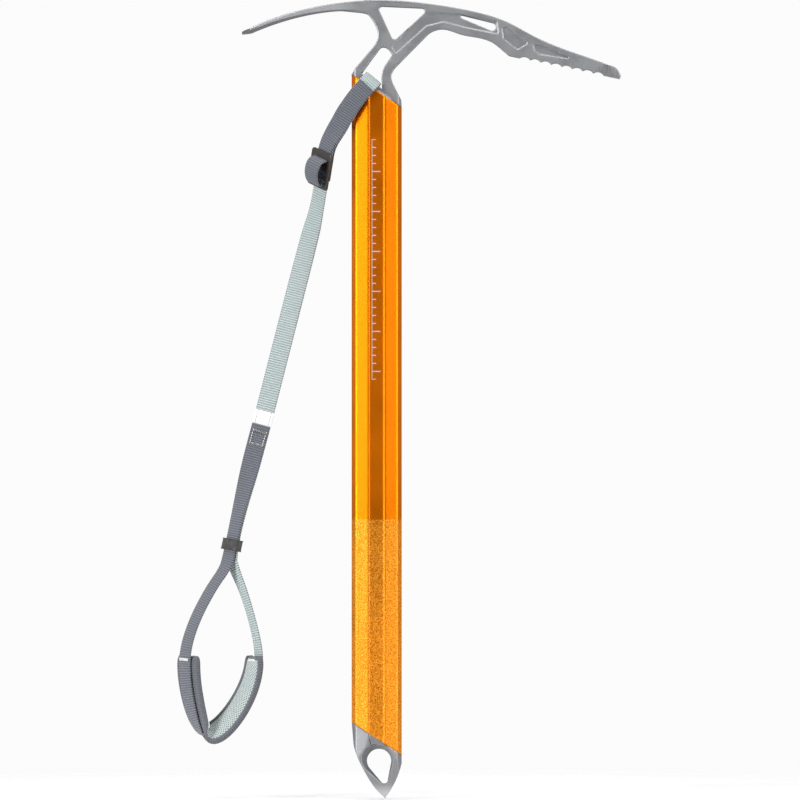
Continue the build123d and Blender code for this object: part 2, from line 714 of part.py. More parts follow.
def build_label(route, marks):
    """The label lies on the main strap, and the stitching on the front layer's sewn end."""
    sewn = marks[SEWN_PLACE]
    label = between(route, sewn - LABEL_LENGTH, sewn - SKIN_GAP)
    lift = WEB_THICK / 2 + SKIN_GAP + LABEL_THICK / 2
    export_on_leash("label", strip(label, LABEL_WIDTH, LABEL_THICK, -lift))
    end = marks[-1]
    on_top = WEB_THICK / 2 + SKIN_GAP / 2 + THREAD_THICK / 2
    bars = [between(route, end - far - TACK_LENGTH, end - far) for far in (FIRST_TACK, SECOND_TACK)]
    pieces = [strip(bar, TACK_WIDTH, THREAD_THICK, on_top) for bar in bars]
    row = between(route, end - SECOND_TACK + SKIN_GAP, end - FIRST_TACK - TACK_LENGTH - SKIN_GAP)
    aside = (TACK_WIDTH - THREAD_THICK) / 2
    pieces += [strip(row, THREAD_THICK, THREAD_THICK, on_top, side * aside) for side in (1, -1)]
    export_on_leash("label_stitches", *pieces)


def make_keeper():
    """A rubber sleeve with a ridge round each end, round both layers of the strap."""
    slot_width = WEB_WIDTH + 2 * SLIDE_GAP
    slot_depth = LAYER_PITCH + WEB_THICK + 2 * SLIDE_GAP
    wide = slot_width + 2 * KEEPER_WALL
    deep = slot_depth + 2 * KEEPER_WALL
    sleeve = extrude(RectangleRounded(wide, deep, KEEPER_WALL), amount=KEEPER_LENGTH / 2, both=True)
    raised = RectangleRounded(wide + KEEPER_RIB, deep + KEEPER_RIB, KEEPER_WALL)
    ridge = extrude(raised, amount=KEEPER_RIB)
    sleeve = sleeve + Pos(0, 0, KEEPER_LENGTH / 2 - KEEPER_RIB) * ridge
    sleeve = sleeve + Pos(0, 0, -KEEPER_LENGTH / 2) * ridge
    return sleeve - Box(slot_width, slot_depth, 2 * KEEPER_LENGTH)


def build_keeper(route, marks):
    at = marks[THROAT_PLACE] - KEEPER_ABOVE_THROAT
    export_on_leash("keeper", local_frame(route, at, -LAYER_PITCH / 2).location * make_keeper())


def build_pad(route, marks):
    """Cover, foam and mesh in a stack inside the wrist loop, with a binding along each edge."""
    start = marks[PAD_START_PLACE] + PAD_START
    end = marks[PAD_END_PLACE] - PAD_END
    run = between(route, start, end)
    depth = WEB_THICK / 2
    for name, width, thick in (
        ("pad_cover", PAD_WIDTH, PAD_SKIN),
        ("pad_foam", PAD_WIDTH, PAD_FOAM),
        ("pad_mesh", PAD_WIDTH, PAD_SKIN),
    ):
        depth += PAD_GAP
        export_on_leash(name, strip(run, width, thick, -depth - thick / 2))
        depth += thick
    stack = depth - WEB_THICK / 2 - PAD_GAP
    middle = WEB_THICK / 2 + PAD_GAP + stack / 2
    aside = PAD_WIDTH / 2 + PAD_GAP + BINDING_WIDTH / 2
    export_on_leash("pad_binding_front", strip(run, BINDING_WIDTH, stack, -middle, aside))
    export_on_leash("pad_binding_back", strip(run, BINDING_WIDTH, stack, -middle, -aside))
    on_web = WEB_THICK / 2 + SKIN_GAP / 2 + THREAD_THICK / 2
    on_mesh = -depth - SKIN_GAP - THREAD_THICK / 2
    outer = between(route, end - PAD_TACK_INSET - TACK_LENGTH, end - PAD_TACK_INSET)
    inner = between(route, start + PAD_TACK_INSET, start + PAD_TACK_INSET + TACK_LENGTH)
    rows = [strip(outer, TACK_WIDTH, THREAD_THICK, on_web), strip(inner, TACK_WIDTH, THREAD_THICK, on_mesh)]
    export_on_leash("pad_stitches", *rows)


def build_all():
    os.makedirs("parts", exist_ok=True)
    build_axe()
    build_head_loop()
    route, marks = build_leash()
    build_buckle(route, marks)
    build_label(route, marks)
    build_keeper(route, marks)
    build_pad(route, marks)


build_all()
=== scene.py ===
# %% [markdown]
# An ice axe. It has a forged steel head, a faceted tube of orange anodised aluminium, a steel spike
# with an eye, and a leash of flat webbing with a slide buckle, a rubber keeper and a padded wrist loop.
# The imported model gives the frame: every CAD node is already in place, in metres, with +Z up the shaft and
# +X towards the pick. Each Blender piece is built in that same frame, and most of them ride on a CAD body.

# %% Load the frame
from math import cos, pi, radians, sin

import bmesh
import bpy
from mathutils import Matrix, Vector


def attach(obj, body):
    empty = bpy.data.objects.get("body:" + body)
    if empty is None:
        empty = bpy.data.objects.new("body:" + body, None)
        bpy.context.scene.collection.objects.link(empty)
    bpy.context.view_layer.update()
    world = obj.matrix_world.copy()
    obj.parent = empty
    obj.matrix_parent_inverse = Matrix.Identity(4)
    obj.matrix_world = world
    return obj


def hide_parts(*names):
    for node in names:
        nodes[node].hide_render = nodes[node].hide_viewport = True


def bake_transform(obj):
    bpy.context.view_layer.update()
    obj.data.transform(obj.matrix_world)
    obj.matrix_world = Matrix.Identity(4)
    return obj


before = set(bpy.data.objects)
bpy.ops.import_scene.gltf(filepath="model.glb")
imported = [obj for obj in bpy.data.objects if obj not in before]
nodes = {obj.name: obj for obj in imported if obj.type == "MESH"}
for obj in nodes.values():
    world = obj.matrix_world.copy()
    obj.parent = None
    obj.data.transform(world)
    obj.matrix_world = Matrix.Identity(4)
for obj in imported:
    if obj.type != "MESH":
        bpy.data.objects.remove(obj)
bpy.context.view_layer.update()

# %% [markdown]
# The camera comes first, because every choice about size and detail is judged through it. It looks
# level and square to the axe, along +Y, through a long lens, so the shaft's sides stay parallel.

# %% Camera
VIEW_CENTRE = Vector((0.0146, 0.0, 0.1446))
VIEW_WIDTH = 0.501
LENS_MM = 400
SENSOR_MM = 36

camera_data = bpy.data.cameras.new("camera")
camera_data.lens = LENS_MM
camera_data.sensor_width = SENSOR_MM
camera = bpy.data.objects.new("camera", camera_data)
bpy.context.scene.collection.objects.link(camera)
camera_distance = VIEW_WIDTH * LENS_MM / SENSOR_MM
camera.location = VIEW_CENTRE - Vector((0, camera_distance, 0))
camera.rotation_euler = (radians(90), 0, 0)
bpy.context.scene.camera = camera
bpy.context.scene.view_settings.view_transform = "Standard"
print("camera", round(camera_distance, 3), "m in front")

# %% [markdown]
# Metal shows its shape only through what it reflects. Two tall soft boxes stand left and right, a wide
# one hangs overhead and a fourth lights the back. The world is bright at both sides of the axe, and
# darker in front of it and behind it. So the flat that faces the camera is dark and the sloping flanks
# are bright. The camera itself sees plain white.

# %% Lights
def soft_box(name, at, aim, width, height, power):
    """A rectangular area light at a place, turned towards a point."""
    data = bpy.data.lights.new(name, "AREA")
    data.shape = "RECTANGLE"
    data.size = width
    data.size_y = height
    data.energy = power
    box = bpy.data.objects.new(name, data)
    bpy.context.scene.collection.objects.link(box)
    box.location = at
    box.rotation_euler = (Vector(aim) - Vector(at)).to_track_quat("-Z", "Y").to_euler()
    return box


MIDDLE = (0, 0, 0.15)
soft_box("left_box", (-1.1, -0.8, 0.35), MIDDLE, 0.5, 1.3, 22)
soft_box("right_box", (1.15, -0.75, 0.3), MIDDLE, 0.4, 1.3, 14)
soft_box("top_box", (0.0, -0.35, 1.35), MIDDLE, 1.2, 0.8, 12)
soft_box("back_box", (0.2, 1.3, 0.8), MIDDLE, 1.2, 0.6, 6)

# %% World
world = bpy.data.worlds.new("studio")
bpy.context.scene.world = world
world.use_nodes = True
tree = world.node_tree
tree.nodes.clear()
out = tree.nodes.new("ShaderNodeOutputWorld")
seen = tree.nodes.new("ShaderNodeBackground")
seen.inputs["Color"].default_value = (1.0, 1.0, 1.0, 1)
seen.inputs["Strength"].default_value = 0.97
room = tree.nodes.new("ShaderNodeBackground")
direction = tree.nodes.new("ShaderNodeTexCoord")
split = tree.nodes.new("ShaderNodeSeparateXYZ")
ramp = tree.nodes.new("ShaderNodeValToRGB")
ramp.color_ramp.elements[0].position = 0.2
ramp.color_ramp.elements[0].color = (0.21, 0.21, 0.22, 1)
ramp.color_ramp.elements[1].position = 0.8
ramp.color_ramp.elements[1].color = (0.22, 0.22, 0.23, 1)
ramp.color_ramp.elements.new(0.5).color = (0.6, 0.61, 0.63, 1)
spread = tree.nodes.new("ShaderNodeMapRange")
spread.inputs["From Min"].default_value = -1
tree.links.new(direction.outputs["Generated"], split.inputs[0])
tree.links.new(split.outputs["Y"], spread.inputs["Value"])
tree.links.new(spread.outputs["Result"], ramp.inputs["Fac"])
tree.links.new(ramp.outputs["Color"], room.inputs["Color"])
rays = tree.nodes.new("ShaderNodeLightPath")
mix = tree.nodes.new("ShaderNodeMixShader")
tree.links.new(rays.outputs["Is Camera Ray"], mix.inputs[0])
tree.links.new(room.outputs[0], mix.inputs[1])
tree.links.new(seen.outputs[0], mix.inputs[2])
tree.links.new(mix.outputs[0], out.inputs[0])
print("world:", world.name)

# %% [markdown]
# Materials are node trees. A short helper makes a node, sets its values and links its inputs, so a
# material below reads as one line a node. Effects that several materials share are node groups that put
# out only masks and heights; the shader itself always stays in the material.

# %% Node helpers
def add_node(tree, kind, values=None, links=None, **settings):
    """A node of a kind, with settings, socket values and links from other nodes' outputs."""
    node = tree.nodes.new(kind)
    for key, value in settings.items():
        setattr(node, key, value)
    for key, value in (values or {}).items():
        node.inputs[key].default_value = value
    for key, source in (links or {}).items():
        tree.links.new(source, node.inputs[key])
    return node


def maths(tree, operation, a, b=0.0):
    """The result of one Math node, from numbers or other nodes' outputs."""
    node = add_node(tree, "ShaderNodeMath", operation=operation)
    for socket, value in zip(node.inputs, (a, b)):
        if isinstance(value, (int, float)):
            socket.default_value = value
        else:
            tree.links.new(value, socket)
    return node.outputs[0]


def mixed(tree, factor, a, b):
    """A colour between two colours or outputs, by a mask."""
    node = add_node(tree, "ShaderNodeMix", data_type="RGBA")
    for socket, value in ((node.inputs[0], factor), (node.inputs[6], a), (node.inputs[7], b)):
        if isinstance(value, (int, float, tuple)):
            socket.default_value = value
        else:
            tree.links.new(value, socket)
    return node.outputs[2]


def times(tree, a, b):
    """The product of two numbers or outputs."""
    return maths(tree, "MULTIPLY", a, b)


def ramped(tree, value, low, high, to_low=0.0, to_high=1.0):
    """A value carried smoothly from one range to another, and held at its ends."""
    node = add_node(tree, "ShaderNodeMapRange", interpolation_type="SMOOTHSTEP")
    for key, number in (("From Min", low), ("From Max", high), ("To Min", to_low), ("To Max", to_high)):
        node.inputs[key].default_value = number
    tree.links.new(value, node.inputs["Value"])
    return node.outputs["Result"]


def painted(tree, shader, factor, a, b):
    """Gives the shader a base colour between two colours or outputs, by a mask."""
    tree.links.new(mixed(tree, factor, a, b), shader.inputs["Base Color"])


def new_material(name, **principled):
    """A material with a Principled BSDF whose plain values are set on its own sockets."""
    material = bpy.data.materials.new(name)
    material.use_nodes = True
    shader = material.node_tree.nodes["Principled BSDF"]
    for key, value in principled.items():
        shader.inputs[key.replace("_", " ")].default_value = value
    return material, material.node_tree, shader


def new_group(name, inputs, outputs):
    """A node group with float inputs, given as name: default, and float outputs. None marks a vector."""
    group = bpy.data.node_groups.new(name, "ShaderNodeTree")
    for label, default in inputs.items():
        kind = "NodeSocketVector" if default is None else "NodeSocketFloat"
        socket = group.interface.new_socket(label, in_out="INPUT", socket_type=kind)
        if default is not None:
            socket.default_value = default
    for label in outputs:
        group.interface.new_socket(label, in_out="OUTPUT", socket_type="NodeSocketFloat")
    entry = group.nodes.new("NodeGroupInput")
    leave = group.nodes.new("NodeGroupOutput")
    return group, entry, leave


def use_group(tree, group, vector, **values):
    """One use of a node group, with its own values."""
    node = add_node(tree, "ShaderNodeGroup", node_tree=group)
    tree.links.new(vector, node.inputs["Vector"])
    for key, value in values.items():
        node.inputs[key].default_value = value
    return node


def object_place(tree):
    """The place on the piece, in metres in its own frame."""
    return add_node(tree, "ShaderNodeTexCoord").outputs["Object"]


def split_place(tree, place):
    """A node that puts out the X, Y and Z of a place."""
    return add_node(tree, "ShaderNodeSeparateXYZ", links={"Vector": place})


def bumped(tree, shader, height, distance, strength):
    """Feeds a height into the shader's normal."""
    bump = add_node(tree, "ShaderNodeBump", {"Distance": distance, "Strength": strength}, {"Height": height})
    tree.links.new(bump.outputs["Normal"], shader.inputs["Normal"])
    return bump


print("node helpers ready")

# %% [markdown]
# Two shared groups. "grain" is a fine random surface with slow blotches over it, for blasted metal and
# moulded rubber. "weave" is webbing: ribs across the strap from the weft, yarns along it from the warp,
# and a stitched look to its two edges. It reads a UV map in metres, u across and v along.

# %% Shared groups
grain, entry, leave = new_group(
    "grain",
    {"Vector": None, "Scale": 900.0, "Blotch": 30.0},
    ["Height", "Speckle", "Blotches"],
)
fine = add_node(grain, "ShaderNodeTexNoise", {"Detail": 3.0, "Roughness": 0.6})
slow = add_node(grain, "ShaderNodeTexNoise", {"Detail": 3.0, "Roughness": 0.55})
for texture, label in ((fine, "Scale"), (slow, "Blotch")):
    grain.links.new(entry.outputs["Vector"], texture.inputs["Vector"])
    grain.links.new(entry.outputs[label], texture.inputs["Scale"])
grain.links.new(fine.outputs["Fac"], leave.inputs["Height"])
grain.links.new(ramped(grain, fine.outputs["Fac"], 0.38, 0.62), leave.inputs["Speckle"])
grain.links.new(ramped(grain, slow.outputs["Fac"], 0.35, 0.65), leave.inputs["Blotches"])

RIB_PITCH = 0.0015
YARN_PITCH = 0.0006
HALF_WEB = 0.006
weave, entry, leave = new_group(
    "weave",
    {"Vector": None, "Rib": RIB_PITCH, "Yarn": YARN_PITCH, "Half width": HALF_WEB},
    ["Height", "Rib mask", "Yarn mask", "Edge mask", "Fuzz"],
)
parts = split_place(weave, entry.outputs["Vector"])
rib_turn = times(weave, maths(weave, "DIVIDE", parts.outputs["Y"], entry.outputs["Rib"]), 2 * pi)
yarn_turn = times(weave, maths(weave, "DIVIDE", parts.outputs["X"], entry.outputs["Yarn"]), 2 * pi)
rib = maths(weave, "ADD", times(weave, maths(weave, "COSINE", rib_turn), 0.5), 0.5)
lean_turn = maths(weave, "ADD", yarn_turn, times(weave, rib_turn, 0.5))
yarn = maths(weave, "ADD", times(weave, maths(weave, "COSINE", lean_turn), 0.5), 0.5)
aside = maths(weave, "DIVIDE", maths(weave, "ABSOLUTE", parts.outputs["X"]), entry.outputs["Half width"])
fuzz = add_node(weave, "ShaderNodeTexNoise", {"Scale": 2600.0, "Detail": 2.0})
weave.links.new(entry.outputs["Vector"], fuzz.inputs["Vector"])
height = maths(weave, "ADD", times(weave, yarn, 0.5), times(weave, rib, 0.35))
height = maths(weave, "ADD", height, times(weave, fuzz.outputs["Fac"], 0.35))
weave.links.new(height, leave.inputs["Height"])
weave.links.new(rib, leave.inputs["Rib mask"])
weave.links.new(yarn, leave.inputs["Yarn mask"])
weave.links.new(ramped(weave, aside, 0.86, 0.95), leave.inputs["Edge mask"])
weave.links.new(fuzz.outputs["Fac"], leave.inputs["Fuzz"])
print("groups:", [g.name for g in bpy.data.node_groups])

# %% [markdown]
# Webbing is woven in two colours: light on one face and dark on the other. Each rib's crown is lighter than
# the gap beside it, where shade is painted into the groove, and the selvedge along each edge is darker and
# dashed by the ribs.

# %% Webbing materials
def webbing(name, crown, shaded_gap, edge, half_width=HALF_WEB):
    """Woven strap fabric that reads the strap's own UV map."""
    material, tree, shader = new_material(name, Roughness=0.85, Sheen_Weight=0.25, Sheen_Roughness=0.5)
    shader.inputs["Specular IOR Level"].default_value = 0.25
    uv = add_node(tree, "ShaderNodeUVMap", uv_map="along_strap")
    woven = use_group(tree, weave, uv.outputs["UV"], **{"Half width": half_width})
    # The gaps between the ribs get a darker colour: painted shade in the grooves.
    colour = mixed(tree, woven.outputs["Rib mask"], shaded_gap, crown)
    dim = mixed(tree, times(tree, woven.outputs["Yarn mask"], 0.28), colour, shaded_gap)
    gaps = ramped(tree, woven.outputs["Rib mask"], 0.75, 0.2)
    dashed = times(tree, woven.outputs["Edge mask"], gaps)
    sides = mixed(tree, times(tree, dashed, 0.9), dim, edge)
    painted(tree, shader, times(tree, woven.outputs["Fuzz"], 0.16), sides, (0.5, 0.52, 0.54, 1))
    bumped(tree, shader, woven.outputs["Height"], 0.0002, 0.8)
    return material


# Each gap colour below is painted shade for the grooves between the ribs.
light_face = webbing(
    "webbing_light_face", crown=(0.47, 0.54, 0.53, 1), shaded_gap=(0.2, 0.25, 0.25, 1), edge=(0.05, 0.06, 0.07, 1))
dark_face = webbing(
    "webbing_dark_face", crown=(0.125, 0.135, 0.165, 1), shaded_gap=(0.035, 0.038, 0.05, 1),
    edge=(0.015, 0.016, 0.02, 1))
print("webbing:", light_face.name, dark_face.name)

# %% [markdown]
# A strap is one fixed length of flat webbing, so it is drawn as a route: a smooth NURBS line through a
# few chosen places, with the way that its width faces at each. The places follow the CAD's strap; only
# the pad's part of the loop is turned a little further to the front. A second NURBS line on the same
# places carries the two facing angles, so both change smoothly together.

# %% Strap places
TOP = 0.395
# Each place is (x, y, z from the head's top, turn, dip), in metres and degrees.
PIVOT = (-0.0240, -0.0072, -0.0795, 14, 30)
FRONT_LEG = [(-0.0184, -0.0096, -0.0695, 4, 38), (-0.0115, -0.0108, -0.0595, 0, 40)]
SADDLE_FRONT = (-0.0019, -0.0130, -0.0489, 0, 40)
SADDLE_BACK = (-0.0019, 0.0130, -0.0489, 0, 40)
BACK_LEG = [(-0.0115, 0.0108, -0.0595, 0, 40), (-0.0198, 0.0080, -0.0700, 4, 38)]
MAIN_STRAP = [
    (-0.0308, -0.0052, -0.0904, 46, 0),
    (-0.0329, -0.0006, -0.1029, 46, 0),
    (-0.0378, 0.0104, -0.1324, 46, 0),
    (-0.0424, 0.0124, -0.1490, 8, 0),
]
SEWN_END = (-0.0723, 0.0100, -0.2660, 0, 0)
DOUBLE_RUN = [(-0.0770, 0.0090, -0.2835, 4, 0), (-0.0862, 0.0075, -0.3195, 51, 0)]
LOOP_THROAT = (-0.0923, 0.0060, -0.3485, 51, 0)
WRIST_LOOP = [
    (-0.0896, 0.0058, -0.3555, 56, 0),
    (-0.0820, 0.0050, -0.3740, 66, 0),
    (-0.0742, 0.0040, -0.4030, 66, 0),
    (-0.0738, 0.0040, -0.4180, 62, 2),
    (-0.0782, 0.0040, -0.4330, 58, 8),
    (-0.0866, 0.0040, -0.4480, 56, 14),
    (-0.0970, 0.0040, -0.4595, 56, 20),
    (-0.1062, 0.0040, -0.4630, 57, 24),
    (-0.1126, 0.0040, -0.4570, 60, 14),
    (-0.1170, 0.0040, -0.4430, 55, 4),
    (-0.1202, 0.0040, -0.4250, 53, 0),
    (-0.1204, 0.0040, -0.4080, 53, 0),
    (-0.1146, 0.0045, -0.3890, 53, 0),
    (-0.1042, 0.0053, -0.3690, 52, 0),
    (-0.0950, 0.0059, -0.3560, 51, 0),
]
WEB_WIDTH = 0.012
WEB_THICK = 0.0012
LAYER_PITCH = 0.0014


def facing(tangent, turn, dip):
    """The strap's width direction and face normal, where it runs along the tangent."""
    level = cos(radians(dip))
    lead = Vector((cos(radians(turn)) * level, -sin(radians(turn)) * level, -sin(radians(dip))))
    across = (lead - tangent * lead.dot(tangent)).normalized()
    return across, across.cross(tangent)


def layer(places, shift):
    """The same places moved along the strap's own normal, for a layer beside the middle one."""
    moved = []
    for i, place in enumerate(places):
        before = Vector(places[max(i - 1, 0)][:3])
        after = Vector(places[min(i + 1, len(places) - 1)][:3])
        normal = facing((after - before).normalized(), place[3], place[4])[1]
        point = Vector(place[:3]) + normal * shift
        moved.append((*point, place[3], place[4]))
    return moved


def smooth_line(points):
    """The points of a NURBS curve on the given control points, read from the evaluated curve."""
    data = bpy.data.curves.new("route", "CURVE")
    data.dimensions = "3D"
    spline = data.splines.new("NURBS")
    spline.points.add(len(points) - 1)
    for control, point in zip(spline.points, points):
        control.co = (*point, 1)
    spline.order_u = 3
    spline.use_endpoint_u = True
    spline.resolution_u = 24
    holder = bpy.data.objects.new("route", data)
    bpy.context.scene.collection.objects.link(holder)
    bpy.context.view_layer.update()
    line = bpy.data.meshes.new_from_object(holder.evaluated_get(bpy.context.evaluated_depsgraph_get()))
    found = [v.co.copy() for v in line.vertices]
    bpy.data.objects.remove(holder)
    bpy.data.meshes.remove(line)
    return found


class Route:
    """A strap's smooth centre line with its width direction, by distance along.

    width_at gives the width direction and the face normal of a point, from its number and tangent.
    """

    def __init__(self, centres, width_at):
        self.centres = centres
        self.marks = [0.0]
        for here, after in zip(centres, centres[1:]):
            self.marks.append(self.marks[-1] + (after - here).length)
        self.length = self.marks[-1]
        self.frames = []
        for i in range(len(centres)):
            tangent = (centres[min(i + 1, len(centres) - 1)] - centres[max(i - 1, 0)]).normalized()
            self.frames.append((tangent, *width_at(i, tangent)))
        self.last = 0

    def at(self, distance):
        """Centre, tangent, width direction and normal at a distance along."""
        distance = min(max(distance, 0.0), self.length - 1e-9)
        if self.marks[self.last] > distance:
            self.last = 0
        while self.marks[self.last + 1] < distance:
            self.last += 1
        i = self.last
        share = (distance - self.marks[i]) / max(self.marks[i + 1] - self.marks[i], 1e-12)
        centre = self.centres[i].lerp(self.centres[i + 1], share)
        return (centre, *[a.lerp(b, share).normalized() for a, b in zip(self.frames[i], self.frames[i + 1])])

    def nearest(self, place, start=0.0, end=10.0):
        """The distance along at which the line comes nearest to a place."""
        point = Vector((place[0], place[1], place[2] + TOP))
        inside = [i for i, mark in enumerate(self.marks) if start <= mark <= end]
        return self.marks[min(inside, key=lambda i: (self.centres[i] - point).length)]


def strap_route(places):
    """The route through places that are given from the head's top, with their turn and dip."""
    centres = smooth_line([(x, y, z + TOP) for x, y, z, turn, dip in places])
    angles = smooth_line([(turn, dip, 0) for x, y, z, turn, dip in places])
    return Route(centres, lambda i, tangent: facing(tangent, angles[i].x, angles[i].y))


head_end = [*reversed(FRONT_LEG)]
shared = [SEWN_END] + DOUBLE_RUN + [LOOP_THROAT]
going_down = layer(shared, LAYER_PITCH / 2)
coming_back = list(reversed(layer(shared, -LAYER_PITCH / 2)))
TAIL_END = (-0.0343, 0.0027, -0.1116, 46, 0)
FRONT_END = (-0.0062, -0.0126, -0.0540, 0, 40)
behind = layer([PIVOT, MAIN_STRAP[0], MAIN_STRAP[1], TAIL_END], LAYER_PITCH)
leash_places = list(reversed(behind)) + list(reversed(BACK_LEG)) + [SADDLE_BACK, SADDLE_FRONT] + head_end
leash_places += [PIVOT] + MAIN_STRAP + going_down + WRIST_LOOP + coming_back
leash_route = strap_route(leash_places)
front_layer = [SADDLE_FRONT] + head_end + [PIVOT, MAIN_STRAP[0], MAIN_STRAP[1], TAIL_END]
front_places = layer(front_layer, -LAYER_PITCH)
front_places[0] = FRONT_END
front_route = strap_route(front_places)
print("leash webbing", round(leash_route.length, 4), "m, front strap", round(front_route.length, 4), "m")

# %% [markdown]
# A strap's mesh starts as a flat grid. One side of the grid wraps round the strap's thin section and the
# other runs along the route, so the weave is even however the strap bends. The ribs are real
# geometry: every rib's crown stands a little higher than the gap beside it.

# %% Strap builder
RING = 20
STEPS_PER_RIB = 5
RIB_HEIGHT = 0.00013


def finish_mesh(name, work, body=None, smooth=True):
    """Turns a bmesh into an object, smooth shaded, that rides on a body."""
    mesh = bpy.data.meshes.new(name)
    work.to_mesh(mesh)
    work.free()
    for face in mesh.polygons:
        face.use_smooth = smooth
    piece = bpy.data.objects.new(name, mesh)
    bpy.context.scene.collection.objects.link(piece)
    if body:
        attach(piece, body)
    return piece


def section_point(share, half_width, half_thick, roundness=0.55):
    """A point on a thin section with rounded edges, starting at the middle of the front face."""
    angle = 2 * pi * share
    wide = abs(sin(angle)) ** 0.75
    deep = abs(cos(angle)) ** roundness
    x = half_width * wide * (1 if sin(angle) >= 0 else -1)
    y = half_thick * deep * (1 if cos(angle) >= 0 else -1)
    return x, y


def closed_sweep(name, work, takes_first):
    """Closes a swept grid into a shell. takes_first marks the faces with the first material."""
    for face, is_first in zip(work.faces, takes_first):
        face.material_index = 0 if is_first else 1
    bmesh.ops.remove_doubles(work, verts=work.verts, dist=1e-7)
    bmesh.ops.holes_fill(work, edges=[e for e in work.edges if e.is_boundary], sides=0)
    bmesh.ops.recalc_face_normals(work, faces=work.faces)
    return finish_mesh(name, work)


def make_strap(name, route, start, end, width=WEB_WIDTH, thick=WEB_THICK, lift=0.0, ribs=RIB_HEIGHT,
               pitch=RIB_PITCH, swell=None, aside=None, ring=RING):
    """A closed strap along part of a route, with a UV map of metres across and along."""
    count = max(2, round((end - start) / pitch * STEPS_PER_RIB))
    work = bmesh.new()
    bmesh.ops.create_grid(work, x_segments=ring, y_segments=count, size=0.5)
    uv = work.loops.layers.uv.new("along_strap")
    back_face = []
    for face in work.faces:
        middle = face.calc_center_median()
        across_share = middle.x + 0.5
        back_face.append(0.25 < across_share < 0.75)
        for loop in face.loops:
            x, _ = section_point(loop.vert.co.x + 0.5, width / 2, thick / 2)
            loop[uv].uv = (x, start + (end - start) * (loop.vert.co.y + 0.5))
    for vert in sorted(work.verts, key=lambda v: v.co.y):
        share = vert.co.y + 0.5
        distance = start + (end - start) * share
        centre, _, across, normal = route.at(distance)
        grow = swell(distance) if swell else (1.0, 1.0)
        x, y = section_point(vert.co.x + 0.5, width / 2 * grow[0], thick / 2 * grow[1])
        crown = 0.5 + 0.5 * cos(2 * pi * distance / pitch)
        flat = 1 - (abs(x) / (width / 2)) ** 6
        y += ribs * (crown - 0.5) * flat * (1 if y > 0 else -1)
        x -= ribs * 0.8 * (1 - crown) * (abs(x) / (width / 2)) ** 8 * (1 if x > 0 else -1)
        shift = aside(distance) if aside else 0.0
        vert.co = centre + across * (x + shift) + normal * (lift + y)
    return closed_sweep(name, work, back_face)


def path_points(route, step=0.002):
    """Points along a route, spaced about one step apart."""
    count = round(route.length / step)
    return [tuple(route.at(route.length * i / count)[0]) for i in range(count + 1)]


def dress(piece, front, back=None):
    """Gives a strap its front face's material, and another one at its back or the same."""
    piece.data.materials.append(front)
    piece.data.materials.append(back or front)


leash_strap = make_strap("leash_strap", leash_route, 0.0, leash_route.length)
dress(leash_strap, light_face, dark_face)
print("leash strap faces:", len(leash_strap.data.polygons))

HEM = 0.0028


def hem_swell(distance):
    """The sewn end is folded under, so it is thicker over its first few millimetres."""
    share = max(0.0, 1 - distance / HEM)
    return 1.0, 1 + 0.7 * min(1.0, 2.5 * share)


front_strap = make_strap("front_strap", front_route, 0.0, front_route.length, swell=hem_swell)
dress(front_strap, dark_face)

# %% [markdown]
# The straps cross the leash's swing, from the axe to the leash. Both meshes have their placement written
# into their vertices, and the CAD webbing nodes that they stand for are hidden.

# %% Settle the straps and hide the CAD webbing
for strap in (leash_strap, front_strap):
    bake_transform(strap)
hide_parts("head_loop_webbing", "leash_webbing", "back_webbing_tail")
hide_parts("front_webbing", "front_webbing_tail")

# %% [markdown]
# The forgings. Forged steel has no sharp corners: every edge is rounded by the die and then by blasting.
# The CAD solids are crisp, so a copy of each has its loose triangles joined, its flats cleaned and its
# corners bevelled. The material softens the corners a little further, so they catch the light.

# %% Forged pieces
def merged_copy(node_name):
    """A bmesh of a CAD node with its loose triangles joined."""
    work = bmesh.new()
    work.from_mesh(nodes[node_name].data)
    bmesh.ops.remove_doubles(work, verts=work.verts, dist=2e-6)
    return work


def shaded_by_area(name, work):
    """Smooth shading led by the big flats, with a crease at every corner that is still sharp."""
    bmesh.ops.recalc_face_normals(work, faces=work.faces)
    for edge in work.edges:
        edge.smooth = edge.calc_face_angle(0) < CREASE
    piece = finish_mesh(name, work, "axe")
    weighted = piece.modifiers.new("weighted", "WEIGHTED_NORMAL")
    weighted.mode = "FACE_AREA_WITH_ANGLE"
    weighted.weight = 90
    weighted.keep_sharp = True
    return piece


def round_corners(work, corners, offset, segments, clamp):
    """Bevels some edges of a bmesh, and cuts up the large faces that are left."""
    bmesh.ops.bevel(work, geom=corners, offset=offset, offset_type="OFFSET", affect="EDGES",
                    segments=segments, profile=0.5, material=-1, clamp_overlap=clamp)
    bmesh.ops.triangulate(work, faces=[f for f in work.faces if len(f.verts) > 4])


def forged(name, node_name, edge_round):
    """A forging from a CAD node: flats cleaned, corners rounded, shaded by the size of its faces.

    Where the adze grows out of the neck the corners are too close together to be rounded.
    """
    work = merged_copy(node_name)
    bmesh.ops.dissolve_limit(work, angle_limit=FLAT_ANGLE, verts=work.verts, edges=work.edges)
    bmesh.ops.remove_doubles(work, verts=work.verts, dist=SHORTEST_EDGE)
    corners = []
    for edge in work.edges:
        kept = all(NECK[0] < v.co.x < NECK[1] and v.co.z > NECK_LOW for v in edge.verts)
        if edge.is_manifold and edge.calc_face_angle() > CORNER_ANGLE and not kept:
            corners.append(edge)
    round_corners(work, corners, edge_round, segments=3, clamp=False)
    piece = shaded_by_area(name, work)
    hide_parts(node_name)
    print(name, "corners:", len(corners), "faces:", len(piece.data.polygons))
    return piece


FLAT_ANGLE = radians(1)
CORNER_ANGLE = radians(24)
CREASE = radians(38)
NECK = (-0.026, -0.003)
NECK_LOW = 0.384
SHORTEST_EDGE = 0.00005
HEAD_ROUND = 0.00032
SPIKE_ROUND = 0.00012
head = forged("forged_head", "head", HEAD_ROUND)
spike = forged("forged_spike", "spike", SPIKE_ROUND)

